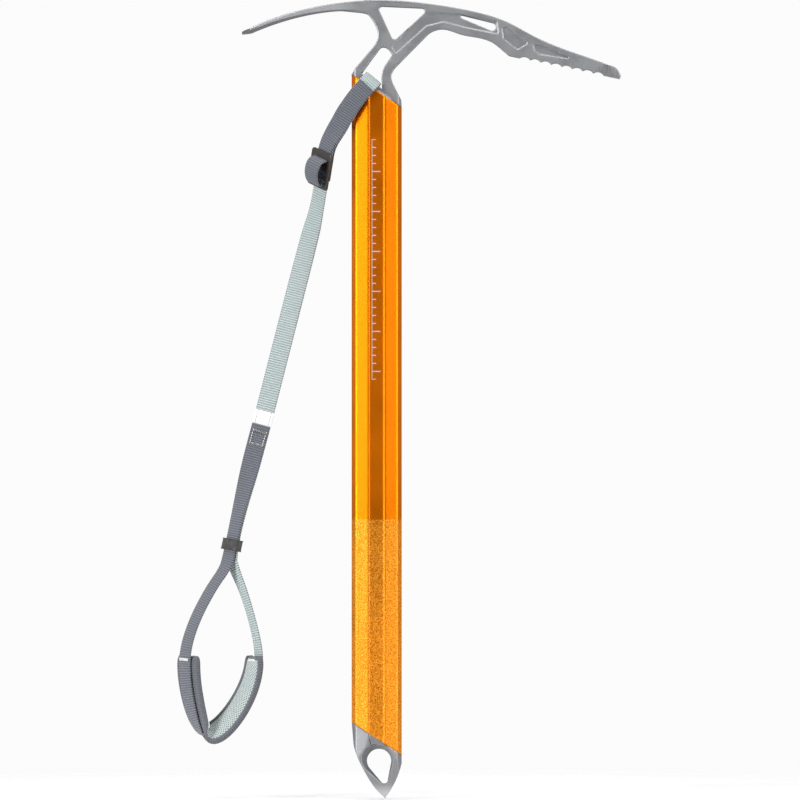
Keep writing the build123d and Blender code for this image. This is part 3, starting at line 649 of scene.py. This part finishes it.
# %% [markdown]
# Blasted steel is a fine even grey with a soft sheen. The shading is rounded over the corners, and the
# tip of the pick, the adze's edge and the spike's tip are ground bright.

# %% Steel
STEEL = (0.36, 0.365, 0.375, 1)
SPIKE_STEEL = (0.26, 0.265, 0.275, 1)
STEEL_WORN = (0.62, 0.62, 0.63, 1)
STEEL_DIRT = (0.16, 0.16, 0.165, 1)
CORNER_SOFT = 0.0012
# Where the grinding starts and where it is full, along X for the head and along Z for the spike.
PICK_GROUND = (0.1375, 0.1395)
ADZE_GROUND = (-0.0785, -0.0805)
SPIKE_GROUND = (-0.094, -0.103)


def steel_material(name, ground_mask, base):
    """Satin blasted steel. ground_mask builds the mask of the parts that are ground bright."""
    material, tree, shader = new_material(name, Metallic=1.0, Roughness=0.42)
    place = object_place(tree)
    surface = use_group(tree, grain, place, Scale=2400.0, Blotch=55.0)
    soft = add_node(tree, "ShaderNodeBevel", {"Radius": CORNER_SOFT}, samples=8).outputs["Normal"]
    clean = mixed(tree, times(tree, surface.outputs["Blotches"], 0.12), base, STEEL_DIRT)
    speckled = mixed(tree, times(tree, surface.outputs["Speckle"], 0.08), clean, STEEL_WORN)
    ground = ground_mask(tree, place)
    painted(tree, shader, times(tree, ground, 0.8), speckled, STEEL_WORN)
    rough = ramped(tree, surface.outputs["Blotches"], 0.0, 1.0, 0.47, 0.56)
    polished = maths(tree, "SUBTRACT", rough, times(tree, ground, 0.18))
    tree.links.new(polished, shader.inputs["Roughness"])
    bump = bumped(tree, shader, surface.outputs["Height"], 0.0001, 0.35)
    tree.links.new(soft, bump.inputs["Normal"])
    return material


def head_ground(tree, place):
    """Ground faces at the pick's tip, streaked by the wheel, and along the adze's edge."""
    parts = split_place(tree, place)
    tip = ramped(tree, parts.outputs["X"], *PICK_GROUND)
    adze = ramped(tree, parts.outputs["X"], *ADZE_GROUND)
    stretch = add_node(tree, "ShaderNodeMapping", {"Scale": (900.0, 60.0, 40.0)}, {"Vector": place})
    streaks = add_node(tree, "ShaderNodeTexNoise", {"Scale": 1.0, "Detail": 2.0})
    tree.links.new(stretch.outputs[0], streaks.inputs["Vector"])
    streaked = ramped(tree, streaks.outputs["Fac"], 0.35, 0.65)
    return times(tree, maths(tree, "MAXIMUM", tip, adze), streaked)


def spike_ground(tree, place):
    """The spike's very tip is scraped bright."""
    parts = split_place(tree, place)
    return ramped(tree, parts.outputs["Z"], *SPIKE_GROUND)


head.data.materials.append(steel_material("blasted_steel_head", head_ground, STEEL))
spike.data.materials.append(steel_material("blasted_steel_spike", spike_ground, SPIKE_STEEL))
print("steel ready")

# %% [markdown]
# The shaft is one extruded tube. Extrusions have rounded ridges between their facets, so a merged copy of
# the CAD tube has its long edges bevelled in a few steps. The shading follows the big facets, so they stay
# flat and each ridge catches one soft line of light.

# %% Shaft
RIDGE_ROUND = 0.0013

work = merged_copy("shaft")
bmesh.ops.dissolve_limit(work, angle_limit=FLAT_ANGLE, verts=work.verts, edges=work.edges)
long_edges = []
for edge in work.edges:
    along_z = abs((edge.verts[0].co - edge.verts[1].co).normalized().z) > 0.999
    if along_z and edge.calc_length() > 0.1 and edge.is_manifold and edge.calc_face_angle() > radians(8):
        long_edges.append(edge)
round_corners(work, long_edges, RIDGE_ROUND, segments=5, clamp=True)
shaft = shaded_by_area("anodised_shaft", work)
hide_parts("shaft")
print("shaft edges rounded:", len(long_edges), "faces:", len(shaft.data.polygons))

# %% [markdown]
# Anodising dyes the metal itself, so the orange is the colour of the reflection. The upper part is
# satin. The grip zone below is blasted through a mask, so it is rougher, paler and speckled, and
# starts at a straight line round the shaft. A plain printed scale runs up the front flat.

# %% Anodised aluminium
GRIP_TOP = 0.0698
GRIP_BLUR = 0.0006
RIDGE_SOFT = 0.0018
SCALE_FOOT = 0.1574
SCALE_TOP = 0.3076
TICK_PITCH = 0.005
LONG_PITCH = 0.025
# How far from a tick's line the print reaches, as a share of the pitch. It is half a millimetre or less.
TICK_SHARE = 0.07
LONG_SHARE = 0.014
TICK_LEFT = -0.0028
TICK_RIGHT = -0.0004
LONG_RIGHT = 0.0024
RAIL_AT = 0.0029
RAIL_HALF = 0.00022
FLAT_DEPTH = 0.0088


def between(tree, value, low, high):
    """One where a value lies between two limits, and nothing elsewhere."""
    return times(tree, maths(tree, "GREATER_THAN", value, low), maths(tree, "LESS_THAN", value, high))


def once_a(tree, pitch, value, share):
    """One in a narrow band once in every pitch, and nothing elsewhere."""
    phase = maths(tree, "FRACT", maths(tree, "DIVIDE", value, pitch))
    return maths(tree, "LESS_THAN", maths(tree, "ABSOLUTE", maths(tree, "SUBTRACT", phase, 0.5)), share)


material, tree, shader = new_material("orange_anodised", Metallic=1.0, Roughness=0.3)
place = object_place(tree)
parts = split_place(tree, place)
satin = use_group(tree, grain, place, Scale=1900.0, Blotch=20.0)
blasted = use_group(tree, grain, place, Scale=1500.0, Blotch=60.0)
grip = ramped(tree, parts.outputs["Z"], GRIP_TOP + GRIP_BLUR, GRIP_TOP - GRIP_BLUR)
satin_speckle = times(tree, satin.outputs["Speckle"], 0.4)
upper = mixed(tree, satin_speckle, (0.95, 0.235, 0.004, 1), (0.62, 0.12, 0.002, 1))
blasted_speckle = times(tree, blasted.outputs["Speckle"], 0.8)
lower = mixed(tree, blasted_speckle, (0.95, 0.36, 0.03, 1), (0.42, 0.11, 0.004, 1))
orange = mixed(tree, grip, upper, lower)

# The printed scale: a tick every 5 mm, longer every 25 mm, beside a thin upright line. It runs between
# two heights, on the front and back flats only.
up = parts.outputs["Z"]
side = parts.outputs["X"]
short_side = between(tree, side, TICK_LEFT, TICK_RIGHT)
long_side = between(tree, side, TICK_LEFT, LONG_RIGHT)
short_ticks = times(tree, once_a(tree, TICK_PITCH, up, TICK_SHARE), short_side)
long_ticks = times(tree, once_a(tree, LONG_PITCH, up, LONG_SHARE), long_side)
from_rail = maths(tree, "ABSOLUTE", maths(tree, "ADD", side, RAIL_AT))
rail = maths(tree, "LESS_THAN", from_rail, RAIL_HALF)
marks = maths(tree, "MAXIMUM", maths(tree, "MAXIMUM", short_ticks, long_ticks), rail)
on_flat = maths(tree, "GREATER_THAN", maths(tree, "ABSOLUTE", parts.outputs["Y"]), FLAT_DEPTH)
printed = times(tree, times(tree, marks, between(tree, up, SCALE_FOOT, SCALE_TOP)), on_flat)
painted(tree, shader, times(tree, printed, 0.85), orange, (0.5, 0.47, 0.43, 1))
tree.links.new(maths(tree, "SUBTRACT", 1.0, times(tree, printed, 0.7)), shader.inputs["Metallic"])
rough = ramped(tree, satin.outputs["Blotches"], 0.0, 1.0, 0.38, 0.44)
rough = maths(tree, "ADD", rough, times(tree, grip, 0.12))
tree.links.new(rough, shader.inputs["Roughness"])
height = mixed(tree, grip, satin.outputs["Height"], blasted.outputs["Height"])
height = times(tree, height, ramped(tree, up, GRIP_TOP + GRIP_BLUR, GRIP_TOP - GRIP_BLUR, 0.25, 1.0))
bump = bumped(tree, shader, height, 0.0002, 0.6)
soft = add_node(tree, "ShaderNodeBevel", {"Radius": RIDGE_SOFT}, samples=8)
tree.links.new(soft.outputs["Normal"], bump.inputs["Normal"])
shaft.data.materials.append(material)
print("anodised ready")

# %% [markdown]
# The buckle is a flat steel slide with two slots, painted black. Its edges were rounded before
# painting, and the paint has worn thin on them. A slack fold of the dark strap stands out between the
# two slots. The frame keeps its CAD shape; the fold is webbing, so it is made by the strap builder, on
# a route drawn in the buckle's own directions.

# %% Buckle
FRAME_PLACE = (-0.03325, 0.00074, -0.1051)
FRAME_LENGTH = 0.024
TOP_BAR = 0.0045
LOW_BAR = 0.0041
FOLD_NEAR = 0.0024
FOLD_REACH = 0.0098

material, tree, shader = new_material(
    "black_painted_steel", Roughness=0.34, Coat_Weight=0.25, Coat_Roughness=0.2)
place = object_place(tree)
surface = use_group(tree, grain, place, Scale=1600.0, Blotch=120.0)
shape = add_node(tree, "ShaderNodeNewGeometry")
edges = times(tree, ramped(tree, shape.outputs["Pointiness"], 0.52, 0.58), surface.outputs["Blotches"])
speckle = times(tree, surface.outputs["Speckle"], 0.4)
paint = mixed(tree, speckle, (0.022, 0.018, 0.016, 1), (0.045, 0.038, 0.034, 1))
painted(tree, shader, times(tree, edges, 0.5), paint, (0.3, 0.27, 0.25, 1))
tree.links.new(times(tree, edges, 0.6), shader.inputs["Metallic"])
bumped(tree, shader, surface.outputs["Height"], 0.00008, 0.5)
nodes["buckle_frame"].data.materials.clear()
nodes["buckle_frame"].data.materials.append(material)

frame_centre, frame_down, frame_across, frame_back = leash_route.at(leash_route.nearest(FRAME_PLACE))


def from_buckle(out, up):
    """A place from a distance in front of the strap and a height on the buckle."""
    return frame_centre - frame_back * out - frame_down * up


slot_top = FRAME_LENGTH / 2 - TOP_BAR - 0.0003
slot_low = -FRAME_LENGTH / 2 + LOW_BAR + 0.0009
# The fold's places, as distance in front of the strap and height on the buckle.
fold_places = [
    (FOLD_NEAR, slot_top),
    (FOLD_NEAR + 0.0026, slot_top + 0.0002),
    (FOLD_REACH - 0.0012, slot_top - 0.0008),
    (FOLD_REACH + 0.0008, slot_top - 0.0048),
    (FOLD_REACH + 0.0004, slot_top - 0.0108),
    (FOLD_REACH - 0.0030, slot_low - 0.0026),
    (FOLD_NEAR + 0.0020, slot_low - 0.0010),
    (FOLD_NEAR, slot_low + 0.0002),
]
# The fold's width always faces along the buckle.
fold_route = Route(smooth_line([from_buckle(out, up) for out, up in fold_places]),
                   lambda i, tangent: (frame_across, frame_across.cross(tangent)))
fold = make_strap("buckle_fold", fold_route, 0.0, fold_route.length)
dress(fold, dark_face)
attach(fold, "buckle")
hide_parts("buckle_bulge")
print("fold length", round(fold_route.length, 4), "m")

# %% [markdown]
# Thread. A bar tack is one thread sewn to and fro across the strap, and beside it run single rows of
# short stitches. Each is a thin tube along a line of points that lies on the strap's face.

# %% Threads
THREAD_RADIUS = 0.00022
TACK_HALF = 0.0043
TACK_LONG = 0.0016
# From the sewn end to the near side of each bar tack.
END_TACK = 0.0036
FAR_TACK = 0.0119
ROW_ASIDE = 0.0041
ROW_GAP = 0.0002

white_thread, tree, shader = new_material("white_thread", Roughness=0.7, Sheen_Weight=0.2)
place = object_place(tree)
twist = add_node(tree, "ShaderNodeTexNoise", {"Scale": 5200.0, "Detail": 1.0}, {"Vector": place})
painted(tree, shader, twist.outputs["Fac"], (0.62, 0.62, 0.6, 1), (0.9, 0.9, 0.88, 1))
bumped(tree, shader, twist.outputs["Fac"], 0.00008, 0.7)


def thread_tubes(name, runs):
    """One mesh of thin tubes, one along each run of points."""
    data = bpy.data.curves.new(name, "CURVE")
    data.dimensions = "3D"
    data.bevel_depth = THREAD_RADIUS
    data.bevel_resolution = 1
    data.use_fill_caps = True
    for run in runs:
        spline = data.splines.new("POLY")
        spline.points.add(len(run) - 1)
        for point, at in zip(spline.points, run):
            point.co = (*at, 1)
    holder = bpy.data.objects.new(name, data)
    bpy.context.scene.collection.objects.link(holder)
    bpy.context.view_layer.update()
    mesh = bpy.data.meshes.new_from_object(holder.evaluated_get(bpy.context.evaluated_depsgraph_get()))
    bpy.data.objects.remove(holder)
    work = bmesh.new()
    work.from_mesh(mesh)
    bmesh.ops.recalc_face_normals(work, faces=work.faces)
    piece = finish_mesh(name, work)
    piece.data.materials.clear()
    piece.data.materials.append(white_thread)
    return piece


def on_face(route, distance, aside, lift):
    """A point on or over a strap's face, at a distance along it and to one side."""
    centre, _, across, normal = route.at(distance)
    return centre + across * aside + normal * lift


def bar_tack(start, lift, passes=38):
    """A thread sewn to and fro along a short stretch while it moves across the strap."""
    run = []
    for i in range(passes + 1):
        aside = -TACK_HALF + 2 * TACK_HALF * i / passes
        run.append(on_face(leash_route, start if i % 2 else start + TACK_LONG, aside, lift))
    return run


def stitch_row(route, start, end, aside, lift, pitch=0.0016, length=0.0011):
    """Separate short stitches in a row along the strap."""
    runs = []
    at = start
    while at + length <= end:
        runs.append([on_face(route, at, aside, lift), on_face(route, at + length, aside, lift)])
        at += pitch
    return runs


surface_lift = WEB_THICK / 2 + RIB_HEIGHT / 2 + THREAD_RADIUS * 1.1
sewn_stop = leash_route.length
tacks = [bar_tack(sewn_stop - near - TACK_LONG, surface_lift) for near in (END_TACK, FAR_TACK)]
row_start = sewn_stop - FAR_TACK + ROW_GAP
row_end = sewn_stop - END_TACK - TACK_LONG - ROW_GAP
for side in (1, -1):
    tacks += stitch_row(leash_route, row_start, row_end, side * ROW_ASIDE, surface_lift)
label_threads = thread_tubes("label_threads", tacks)
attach(label_threads, "leash")
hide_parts("label_stitches")
print("label threads:", len(label_threads.data.polygons), "faces")

# %% [markdown]
# The label is a small woven tab, sewn flat on the light face just above the doubled strap. It is left
# plain, with a fine weave, two woven grey lines as a border and a turned edge.

# %% Label
LABEL_LENGTH = 0.0095
LABEL_WIDTH = 0.0122
LABEL_THICK = 0.00036
BORDER_AT = 0.0043
BORDER_HALF = 0.00022
FACE_GAP = 0.0003
sewn_at = leash_route.nearest(SEWN_END, end=leash_route.length * 0.6)
label = make_strap("woven_label", leash_route, sewn_at - LABEL_LENGTH, sewn_at - 0.0001, width=LABEL_WIDTH,
                   thick=LABEL_THICK, lift=-(WEB_THICK / 2 + FACE_GAP), ribs=0.00003, pitch=0.0004, ring=16)
material, tree, shader = new_material("woven_white", Roughness=0.8, Sheen_Weight=0.2)
uv = add_node(tree, "ShaderNodeUVMap", uv_map="along_strap")
woven = use_group(tree, weave, uv.outputs["UV"], Rib=0.00042, Yarn=0.0003)
parts = split_place(tree, uv.outputs["UV"])
# The gaps of the label's weave are painted grey: painted shade in its grooves.
white_with_shaded_gaps = mixed(tree, woven.outputs["Rib mask"], (0.6, 0.6, 0.6, 1), (0.86, 0.86, 0.85, 1))
from_middle = maths(tree, "ABSOLUTE", parts.outputs["X"])
from_line = maths(tree, "ABSOLUTE", maths(tree, "SUBTRACT", from_middle, BORDER_AT))
border = maths(tree, "LESS_THAN", from_line, BORDER_HALF)
painted(tree, shader, times(tree, border, 0.7), white_with_shaded_gaps, (0.25, 0.26, 0.28, 1))
bumped(tree, shader, woven.outputs["Height"], 0.00008, 0.6)
dress(label, material)
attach(label, "leash")
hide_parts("label")
print("label faces:", len(label.data.polygons))

# %% [markdown]
# The wrist pad lies inside the loop: foam between a woven cover and a light spacer mesh that meets the
# skin, bound along both edges with folded tape. The pad is swept along the loop with a section that
# swells in the middle and is pinched by the tape at both sides, and it thins towards its two ends.

# %% Wrist pad
PAD_WIDTH = 0.0196
PAD_THICK = 0.0042
PAD_ROUND_END = 0.006
PAD_END_BAND = 0.0024
PAD_TACK_IN = 0.002
NET_PITCH = 0.0021
pad_start = leash_route.nearest(WRIST_LOOP[2], start=leash_route.length * 0.5) + 0.008
pad_end = leash_route.nearest(WRIST_LOOP[11], start=pad_start) - 0.002


def pad_swell(distance):
    """Full in the middle and drawn in over the last few millimetres at both ends."""
    from_end = min(distance - pad_start, pad_end - distance) / PAD_ROUND_END
    share = min(max(from_end, 0.0), 1.0)
    rise = (1 - (1 - share) ** 2) ** 0.5
    quilt = 0.04 * sin(2 * pi * distance / 0.021)
    return 0.74 + 0.26 * rise, 0.45 + 0.55 * rise + quilt


def make_pad(name, lift):
    """The pad's body: one closed shell with the mesh face inside the loop and the cover outside."""
    count = round((pad_end - pad_start) / 0.0008)
    work = bmesh.new()
    bmesh.ops.create_grid(work, x_segments=36, y_segments=count, size=0.5)
    uv = work.loops.layers.uv.new("along_strap")
    inside = []
    for face in work.faces:
        middle = face.calc_center_median()
        from_end = (0.5 - abs(middle.y)) * (pad_end - pad_start)
        inside.append(0.25 < middle.x + 0.5 < 0.75 and from_end > PAD_END_BAND)
        for loop in face.loops:
            x, _ = section_point(loop.vert.co.x + 0.5, PAD_WIDTH / 2, PAD_THICK / 2)
            loop[uv].uv = (x, pad_start + (pad_end - pad_start) * (loop.vert.co.y + 0.5))
    for vert in sorted(work.verts, key=lambda v: v.co.y):
        distance = pad_start + (pad_end - pad_start) * (vert.co.y + 0.5)
        centre, _, across, normal = leash_route.at(distance)
        wide, deep = pad_swell(distance)
        x, y = section_point(vert.co.x + 0.5, PAD_WIDTH / 2 * wide, PAD_THICK / 2 * deep, 0.9)
        crown = 1 - 0.45 * abs(2 * x / PAD_WIDTH) ** 3
        y = y * crown - (PAD_THICK / 2 * deep if y < 0 else 0) * 0.12 * crown
        vert.co = centre + across * x + normal * (lift + y)
    return closed_sweep(name, work, inside)


def spacer_mesh():
    """Open knitted mesh: rows of small holes, each a soft dimple painted dark as shade, in a light pile."""
    material, tree, shader = new_material(
        "spacer_mesh", Roughness=0.9, Sheen_Weight=0.4, Sheen_Roughness=0.4)
    uv = add_node(tree, "ShaderNodeUVMap", uv_map="along_strap")
    parts = split_place(tree, uv.outputs["UV"])
    across = times(tree, parts.outputs["X"], 2 * pi / NET_PITCH)
    along = times(tree, parts.outputs["Y"], 2 * pi / NET_PITCH)
    net = times(tree, maths(tree, "COSINE", across), maths(tree, "COSINE", along))
    hole = ramped(tree, net, 0.15, 0.65)
    fuzz = add_node(tree, "ShaderNodeTexNoise", {"Scale": 2200.0, "Detail": 2.0})
    tree.links.new(uv.outputs["UV"], fuzz.inputs["Vector"])
    pile = mixed(tree, fuzz.outputs["Fac"], (0.27, 0.32, 0.31, 1), (0.5, 0.56, 0.54, 1))
    # The holes are painted near black, as shade in them.
    painted(tree, shader, times(tree, hole, 0.8), pile, (0.06, 0.075, 0.075, 1))
    height = maths(tree, "SUBTRACT", times(tree, fuzz.outputs["Fac"], 0.3), hole)
    bumped(tree, shader, height, 0.0004, 0.9)
    return material


# Its gap colour is painted shade in the grooves between the ribs.
pad_cover_face = webbing(
    "pad_cover_face", crown=(0.10, 0.11, 0.13, 1), shaded_gap=(0.04, 0.045, 0.055, 1),
    edge=(0.03, 0.03, 0.035, 1), half_width=0.01)
pad_lift = -(WEB_THICK / 2 + FACE_GAP + PAD_THICK / 2)
pad = make_pad("wrist_pad", pad_lift)
dress(pad, spacer_mesh(), pad_cover_face)
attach(pad, "leash")
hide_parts("pad_foam", "pad_cover", "pad_mesh")

BINDING_WIDE = 0.0030
BINDING_THICK = 0.0036
BINDING_PAST = 0.0004
# Its gap colour is painted shade in the grooves between the ribs.
binding_face = webbing(
    "binding_tape", crown=(0.085, 0.09, 0.11, 1), shaded_gap=(0.04, 0.043, 0.055, 1),
    edge=(0.03, 0.03, 0.035, 1), half_width=0.003)


def tape_line(side):
    """Where the tape lies: along the pad's edge, drawn in with it at both ends."""
    return lambda distance: side * (PAD_WIDTH / 2 * pad_swell(distance)[0] - 0.0006)


for name, side in (("front", 1), ("back", -1)):
    tape = make_strap(f"pad_tape_{name}", leash_route, pad_start - BINDING_PAST, pad_end + BINDING_PAST,
                      width=BINDING_WIDE, thick=BINDING_THICK, lift=pad_lift - 0.0001, ribs=0.00005,
                      pitch=0.0009, aside=tape_line(side), ring=16)
    dress(tape, binding_face)
    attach(tape, "leash")
    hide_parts(f"pad_binding_{name}")

inner_lift = pad_lift - PAD_THICK / 2 - 0.0001
pad_tacks = [
    bar_tack(pad_end - PAD_TACK_IN - TACK_LONG, surface_lift),
    bar_tack(pad_start + PAD_TACK_IN, inner_lift + 0.0002),
]
pad_threads = thread_tubes("pad_threads", pad_tacks)
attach(pad_threads, "leash")
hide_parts("pad_stitches")
print("pad from", round(pad_start, 4), "to", round(pad_end, 4), "m along the webbing")

# %% [markdown]
# The keeper is a short sleeve of black rubber with a moulded ridge round each end. A merged copy of the
# CAD sleeve has its edges rounded. Rubber is matt, with a fine grain and a little bloom.

# %% Keeper
KEEPER_ROUND = 0.00016

work = merged_copy("keeper")
bmesh.ops.dissolve_limit(work, angle_limit=radians(2), verts=work.verts, edges=work.edges)
corners = [e for e in work.edges if e.is_manifold and e.calc_face_angle() > radians(40)]
round_corners(work, corners, KEEPER_ROUND, segments=2, clamp=True)
bmesh.ops.recalc_face_normals(work, faces=work.faces)
keeper = finish_mesh("rubber_keeper", work, "keeper", smooth=False)
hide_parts("keeper")
material, tree, shader = new_material("black_rubber", Roughness=0.62)
shader.inputs["Specular IOR Level"].default_value = 0.4
place = object_place(tree)
surface = use_group(tree, grain, place, Scale=1800.0, Blotch=200.0)
bloom = times(tree, surface.outputs["Blotches"], 0.5)
painted(tree, shader, bloom, (0.035, 0.034, 0.033, 1), (0.09, 0.088, 0.085, 1))
bumped(tree, shader, surface.outputs["Height"], 0.0001, 0.7)
keeper.data.materials.append(material)
print("keeper faces:", len(keeper.data.polygons))

# %% [markdown]
# The cured epoxy shows as a thin dark line at both joints, and the pins' ends as small bright discs on
# the narrow sides of the shaft. These nodes keep their CAD shapes.

# %% Epoxy and pins
def blotched(name, scale, blotch, dark, light, bump, **principled):
    """A plain grained surface with slow blotches between two colours."""
    material, tree, shader = new_material(name, **principled)
    surface = use_group(tree, grain, object_place(tree), Scale=scale, Blotch=blotch)
    painted(tree, shader, surface.outputs["Blotches"], dark, light)
    bumped(tree, shader, surface.outputs["Height"], bump, 0.5)
    return material


epoxy = blotched("cured_epoxy", 1500.0, 300.0, (0.03, 0.02, 0.012, 1), (0.07, 0.045, 0.025, 1), 0.00005,
                 Roughness=0.5)
turned = blotched("turned_pin", 2600.0, 500.0, (0.4, 0.4, 0.41, 1), (0.62, 0.62, 0.63, 1), 0.00004,
                  Metallic=1.0, Roughness=0.35)
finishes = {"head_bond": epoxy, "spike_bond": epoxy, "head_pins": turned, "spike_pin": turned}
for node_name, finish in finishes.items():
    nodes[node_name].data.materials.clear()
    nodes[node_name].data.materials.append(finish)

# %% [markdown]
# The floor is a pale round mat just under the spike. It fades out towards its rim, so that no edge shows
# against the white behind the axe.

# %% Floor
FLOOR_Z = -0.1055
FLOOR_RADIUS = 0.6
work = bmesh.new()
bmesh.ops.create_circle(work, cap_ends=True, radius=FLOOR_RADIUS, segments=96)
bmesh.ops.translate(work, verts=work.verts, vec=(0, 0, FLOOR_Z))
floor = finish_mesh("floor", work, smooth=False)
material, tree, shader = new_material("pale_floor", Roughness=0.8)
place = object_place(tree)
surface = use_group(tree, grain, place, Scale=900.0, Blotch=9.0)
painted(tree, shader, surface.outputs["Blotches"], (0.86, 0.86, 0.86, 1), (0.9, 0.9, 0.9, 1))
away = add_node(tree, "ShaderNodeVectorMath", {}, {"Vector": place})
away.operation = "LENGTH"
tree.links.new(ramped(tree, away.outputs["Value"], 0.5, 0.2), shader.inputs["Alpha"])
floor.data.materials.append(material)
print("floor at", FLOOR_Z)

# %% [markdown]
# The whole leash is one flat webbing sewn to itself, with its shorter doubled layer, fold, label, pad, tape
# and threads. Its route is taken as points: it starts behind the buckle, runs up over the head, down the
# strap and round the wrist loop, and ends where it is sewn to itself.

leash_path = path_points(leash_route)
